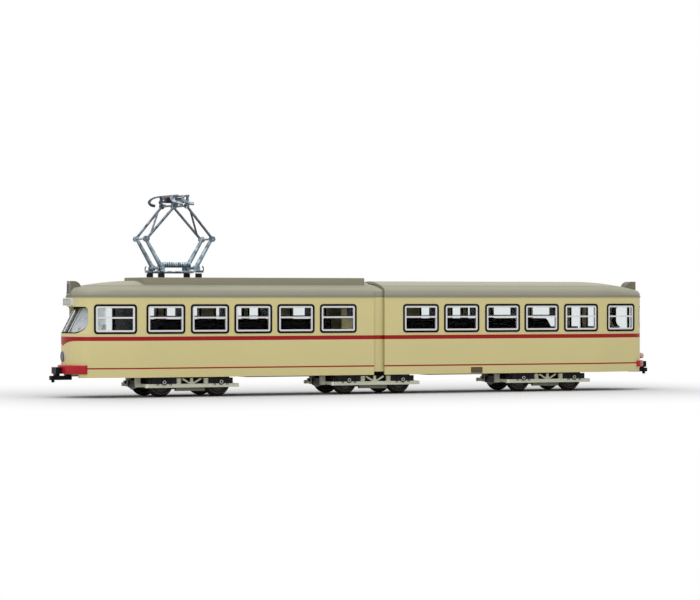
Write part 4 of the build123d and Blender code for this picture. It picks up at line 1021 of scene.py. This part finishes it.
class TRAM_OT_add_window_details(bpy.types.Operator):
    """Add the ribbed posts and slim bars inside the windows"""

    bl_idname = "tram.add_window_details"
    bl_label = "Add Window Details"

    def execute(self, context):
        shade = tuple(context.scene.tram_colours.post)
        dark = moulded("window_post_finish", shade, 0.4, DARK_CONTRAST, BLACK_GLOSS)
        for body, windows in SECTION_WINDOWS.items():
            posts = bmesh.new()
            for middle in windows:
                for rib in range(POST_RIBS):
                    x = middle + POST_START + rib * POST_PITCH
                    block(posts, (x, x + POST_WIDTH), POST_DEPTH_Y, POST_HEIGHT_Z, bevel=POST_BEVEL)
                block(posts, about(middle, BAR_HALF_X), BAR_Y, BAR_Z, bevel=BAR_BEVEL)
            finished(f"{body}_window_posts", posts, body, dark)
        return {"FINISHED"}


# Collector: its middle, and its added pieces measured from there
COLLECTOR_X = -70.7
HEAD_BOX_X = 2.2
HEAD_BOX_HALF_X = 1.2
HEAD_BOX_HALF_Y = 1.0
HEAD_BOX_Z = (66.1, 68.0)
HEAD_BOX_BEVEL = 0.25
BASE_RAIL_X = 7.0
BASE_RAIL_HALF_X = 1.6
BASE_RAIL_Y = 5.6
BASE_RAIL_HALF_Y = 0.3
BASE_RAIL_Z = (42.3, 43.1)
BASE_RAIL_BEVEL = 0.12
HOOK_Y = 7.05
HOOK_POINTS = ((6.6, 42.6), (7.4, 42.5), (8.0, 43.1), (8.0, 43.9), (7.6, 44.5))
HOOK_RADIUS = 0.22


class TRAM_OT_add_collector_details(bpy.types.Operator):
    """Add the head boxes, rail bars and hooks of the collector"""

    bl_idname = "tram.add_collector_details"
    bl_label = "Add Collector Details"

    def execute(self, context):
        colours = context.scene.tram_colours
        bright = bpy.data.materials["collector_bright_steel"]
        dark = moulded("collector_box_finish", tuple(colours.panel), 0.4, DARK_CONTRAST)
        head = bmesh.new()
        rails = bmesh.new()
        hooks = bmesh.new()
        for side in (-1, 1):
            box_x = about(COLLECTOR_X + side * HEAD_BOX_X, HEAD_BOX_HALF_X)
            block(head, box_x, about(0, HEAD_BOX_HALF_Y), HEAD_BOX_Z, bevel=HEAD_BOX_BEVEL)
            for end in (-1, 1):
                rail_x = about(COLLECTOR_X + end * BASE_RAIL_X, BASE_RAIL_HALF_X)
                rail_y = about(side * BASE_RAIL_Y, BASE_RAIL_HALF_Y)
                block(rails, rail_x, rail_y, BASE_RAIL_Z, bevel=BASE_RAIL_BEVEL)
                points = [(COLLECTOR_X + end * along, side * HOOK_Y, up) for along, up in HOOK_POINTS]
                rod(hooks, points, HOOK_RADIUS)
        finished("collector_head_boxes", head, "collector_head", dark)
        finished("collector_rail_bars", rails, "front_section", bright)
        finished("collector_hooks", hooks, "front_section", dark)
        return {"FINISHED"}


# Grab rails: door middles along each section, with the distance from there to the rails on both sides
SECTION_DOORS = {
    "front_section": ((-38.9, 13.4), (-93.3, 7.1)),
    "rear_section": ((41.0, 13.4), (96.4, 7.1)),
}
GRAB_RADIUS = 0.1
# Distance out from the wall, and height
GRAB_POINTS = ((-0.1, 18.0), (0.28, 17.6), (0.28, 11.4), (-0.1, 11.0))


class TRAM_OT_add_grab_rails(bpy.types.Operator):
    """Add the grab rails beside the doors on the far side"""

    bl_idname = "tram.add_grab_rails"
    bl_label = "Add Grab Rails"

    def execute(self, context):
        silver = bpy.data.materials["frame_silver"]
        for body, doors in SECTION_DOORS.items():
            rails = bmesh.new()
            for middle, reach in doors:
                for side in (-1, 1):
                    x = middle + side * reach
                    wall = WALL_Y / MM - TAPER_SLOPE * max(abs(x) - TAPER_X / MM, 0.0)
                    rod(rails, [(x, wall + out, up) for out, up in GRAB_POINTS], GRAB_RADIUS)
            finished(f"{body}_grab_rails", rails, body, silver)
        return {"FINISHED"}


# Softboxes: place, target and size
OVERHEAD_BOX = ((-0.05, -0.1, 0.9), (-0.02, 0, 0.03), (1.1, 0.7))
FRONT_BOX = ((-0.75, -1.1, 0.45), (0, 0, 0.02), (0.9, 0.6))
WHITE = (1, 1, 1, 1)


class TRAM_OT_add_stage(bpy.types.Operator):
    """Add the floor, the lights and the camera"""

    bl_idname = "tram.add_stage"
    bl_label = "Add Stage"

    def execute(self, context):
        scene = context.scene
        settings = scene.tram_stage
        add_floor(tuple(settings.floor))
        add_softbox("overhead_softbox", *OVERHEAD_BOX, settings.overhead)
        add_softbox("front_softbox", *FRONT_BOX, settings.front_fill)
        light_room(scene, settings.ambient)
        place_camera(scene)
        return {"FINISHED"}


# Floor: half its length, the painted shadow near the model and how it fades to white
FLOOR_HALF = 3.0
FLOOR_CLOUDS = 0.02
FLOOR_SHADE = 0.99
SHADOW_HALF_X = 0.1
SHADOW_HALF_Y = 0.01
SHADOW_FADE = 0.15
SHADOW_END_FADE = 1.6
SHADOW_SHADE = 0.62


def add_floor(shade):
    """Pale floor that turns white for the camera away from the model, keeps its shadow and has a painted
    shadow near the model.
    """
    mesh = bpy.data.meshes.new("floor")
    corners = [
        (-FLOOR_HALF, -FLOOR_HALF, 0), (FLOOR_HALF, -FLOOR_HALF, 0),
        (FLOOR_HALF, FLOOR_HALF, 0), (-FLOOR_HALF, FLOOR_HALF, 0),
    ]
    mesh.from_pydata(corners, [], [(0, 1, 2, 3)])
    floor = bpy.data.objects.new("floor", mesh)
    bpy.context.scene.collection.objects.link(floor)
    graph = Graph("floor_finish")
    grain = graph.noise(FLOOR_CLOUDS, 3)
    x, y, _ = graph.axes()
    along = graph.maths("MAXIMUM", abs(x) - SHADOW_HALF_X, 0.0) * SHADOW_END_FADE
    across = graph.maths("MAXIMUM", abs(y) - SHADOW_HALF_Y, 0.0)
    away = (along * along + across * across) ** 0.5
    far = graph.step(away, SHADOW_FADE / 2, SHADOW_FADE)
    tone = graph.mix(grain, shaded(shade, FLOOR_SHADE), shade)
    # Painted shadow: the floor is darker near the model
    tone = graph.mix(far, shaded(shade, SHADOW_SHADE), tone)
    diffuse = graph.node("ShaderNodeBsdfDiffuse", inputs={"Color": tone})
    white = graph.node("ShaderNodeEmission", inputs={"Color": WHITE, "Strength": 1.0})
    total = graph.node("ShaderNodeMixShader", inputs={0: graph.seen() * far, 1: diffuse, 2: white})
    graph.node("ShaderNodeOutputMaterial", inputs={"Surface": total})
    mesh.materials.append(graph.material)


def add_softbox(name, place, target, size, power):
    """Large soft lamp that looks at its target."""
    data = bpy.data.lights.new(name, "AREA")
    data.shape = "RECTANGLE"
    data.size, data.size_y = size
    data.energy = power
    lamp = bpy.data.objects.new(name, data)
    lamp.location = place
    lamp.rotation_euler = (Vector(target) - Vector(place)).to_track_quat("-Z", "Y").to_euler()
    bpy.context.scene.collection.objects.link(lamp)


def light_room(scene, strength):
    """Soft room light, white where the camera, a reflection or a pane looks at it."""
    graph = Graph("studio", "worlds")
    room = graph.node("ShaderNodeBackground", inputs={"Color": WHITE, "Strength": strength})
    backdrop = graph.node("ShaderNodeBackground", inputs={"Color": WHITE})
    mixed = graph.node("ShaderNodeMixShader", inputs={0: graph.seen(), 1: room, 2: backdrop})
    graph.node("ShaderNodeOutputWorld", inputs={"Surface": mixed})
    scene.world = graph.material


# Camera: place, turn, lens and frame
CAMERA_PLACE = (-0.4136, -0.9004, 0.03395)
CAMERA_TILT_DEG = 90
CAMERA_TURN_DEG = -24.44
CAMERA_LENS_MM = 144.1
CAMERA_SENSOR_MM = 36
CAMERA_SHIFT_Y = -3 / 700
CAMERA_CLIP = (0.05, 20)


def place_camera(scene):
    """Camera where the photo was taken from."""
    data = bpy.data.cameras.new("camera")
    data.lens = CAMERA_LENS_MM
    data.sensor_width = CAMERA_SENSOR_MM
    data.shift_y = CAMERA_SHIFT_Y
    data.clip_start, data.clip_end = CAMERA_CLIP
    camera = bpy.data.objects.new("camera", data)
    camera.location = CAMERA_PLACE
    camera.rotation_euler = (math.radians(CAMERA_TILT_DEG), 0, math.radians(CAMERA_TURN_DEG))
    scene.collection.objects.link(camera)
    scene.camera = camera


class TRAM_PT_panel(bpy.types.Panel):
    """Sidebar panel of the tram"""

    bl_label = "Tram"
    bl_idname = "TRAM_PT_panel"
    bl_space_type = "VIEW_3D"
    bl_region_type = "UI"
    bl_category = "Tram"

    def draw(self, context):
        layout = self.layout
        for operator in OPERATORS:
            layout.operator(operator.bl_idname)
        for group in (context.scene.tram_livery, context.scene.tram_colours, context.scene.tram_stage):
            column = layout.column()
            for key in group.bl_rna.properties.keys():
                if key not in ("rna_type", "name"):
                    column.prop(group, key)


OPERATORS = (
    TRAM_OT_paint_body,
    TRAM_OT_paint_windows,
    TRAM_OT_paint_interior,
    TRAM_OT_paint_ends,
    TRAM_OT_paint_running_gear,
    TRAM_OT_paint_collector,
    TRAM_OT_add_axle_caps,
    TRAM_OT_add_end_details,
    TRAM_OT_add_window_details,
    TRAM_OT_add_collector_details,
    TRAM_OT_add_grab_rails,
    TRAM_OT_add_stage,
)
CLASSES = (TramLivery, TramColours, TramStage, *OPERATORS, TRAM_PT_panel)


def register():
    for each in CLASSES:
        bpy.utils.register_class(each)
    bpy.types.Scene.tram_livery = PointerProperty(type=TramLivery)
    bpy.types.Scene.tram_colours = PointerProperty(type=TramColours)
    bpy.types.Scene.tram_stage = PointerProperty(type=TramStage)


def unregister():
    del bpy.types.Scene.tram_stage
    del bpy.types.Scene.tram_colours
    del bpy.types.Scene.tram_livery
    for each in reversed(CLASSES):
        bpy.utils.unregister_class(each)


def main():
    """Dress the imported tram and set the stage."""
    register()
    bpy.context.scene.view_settings.view_transform = "Standard"
    bpy.ops.tram.paint_body()
    bpy.ops.tram.paint_windows()
    bpy.ops.tram.paint_interior()
    bpy.ops.tram.paint_ends()
    bpy.ops.tram.paint_running_gear()
    bpy.ops.tram.paint_collector()
    bpy.ops.tram.add_axle_caps()
    bpy.ops.tram.add_end_details()
    bpy.ops.tram.add_window_details()
    bpy.ops.tram.add_collector_details()
    bpy.ops.tram.add_grab_rails()
    bpy.ops.tram.add_stage()


if __name__ == "__main__":
    main()
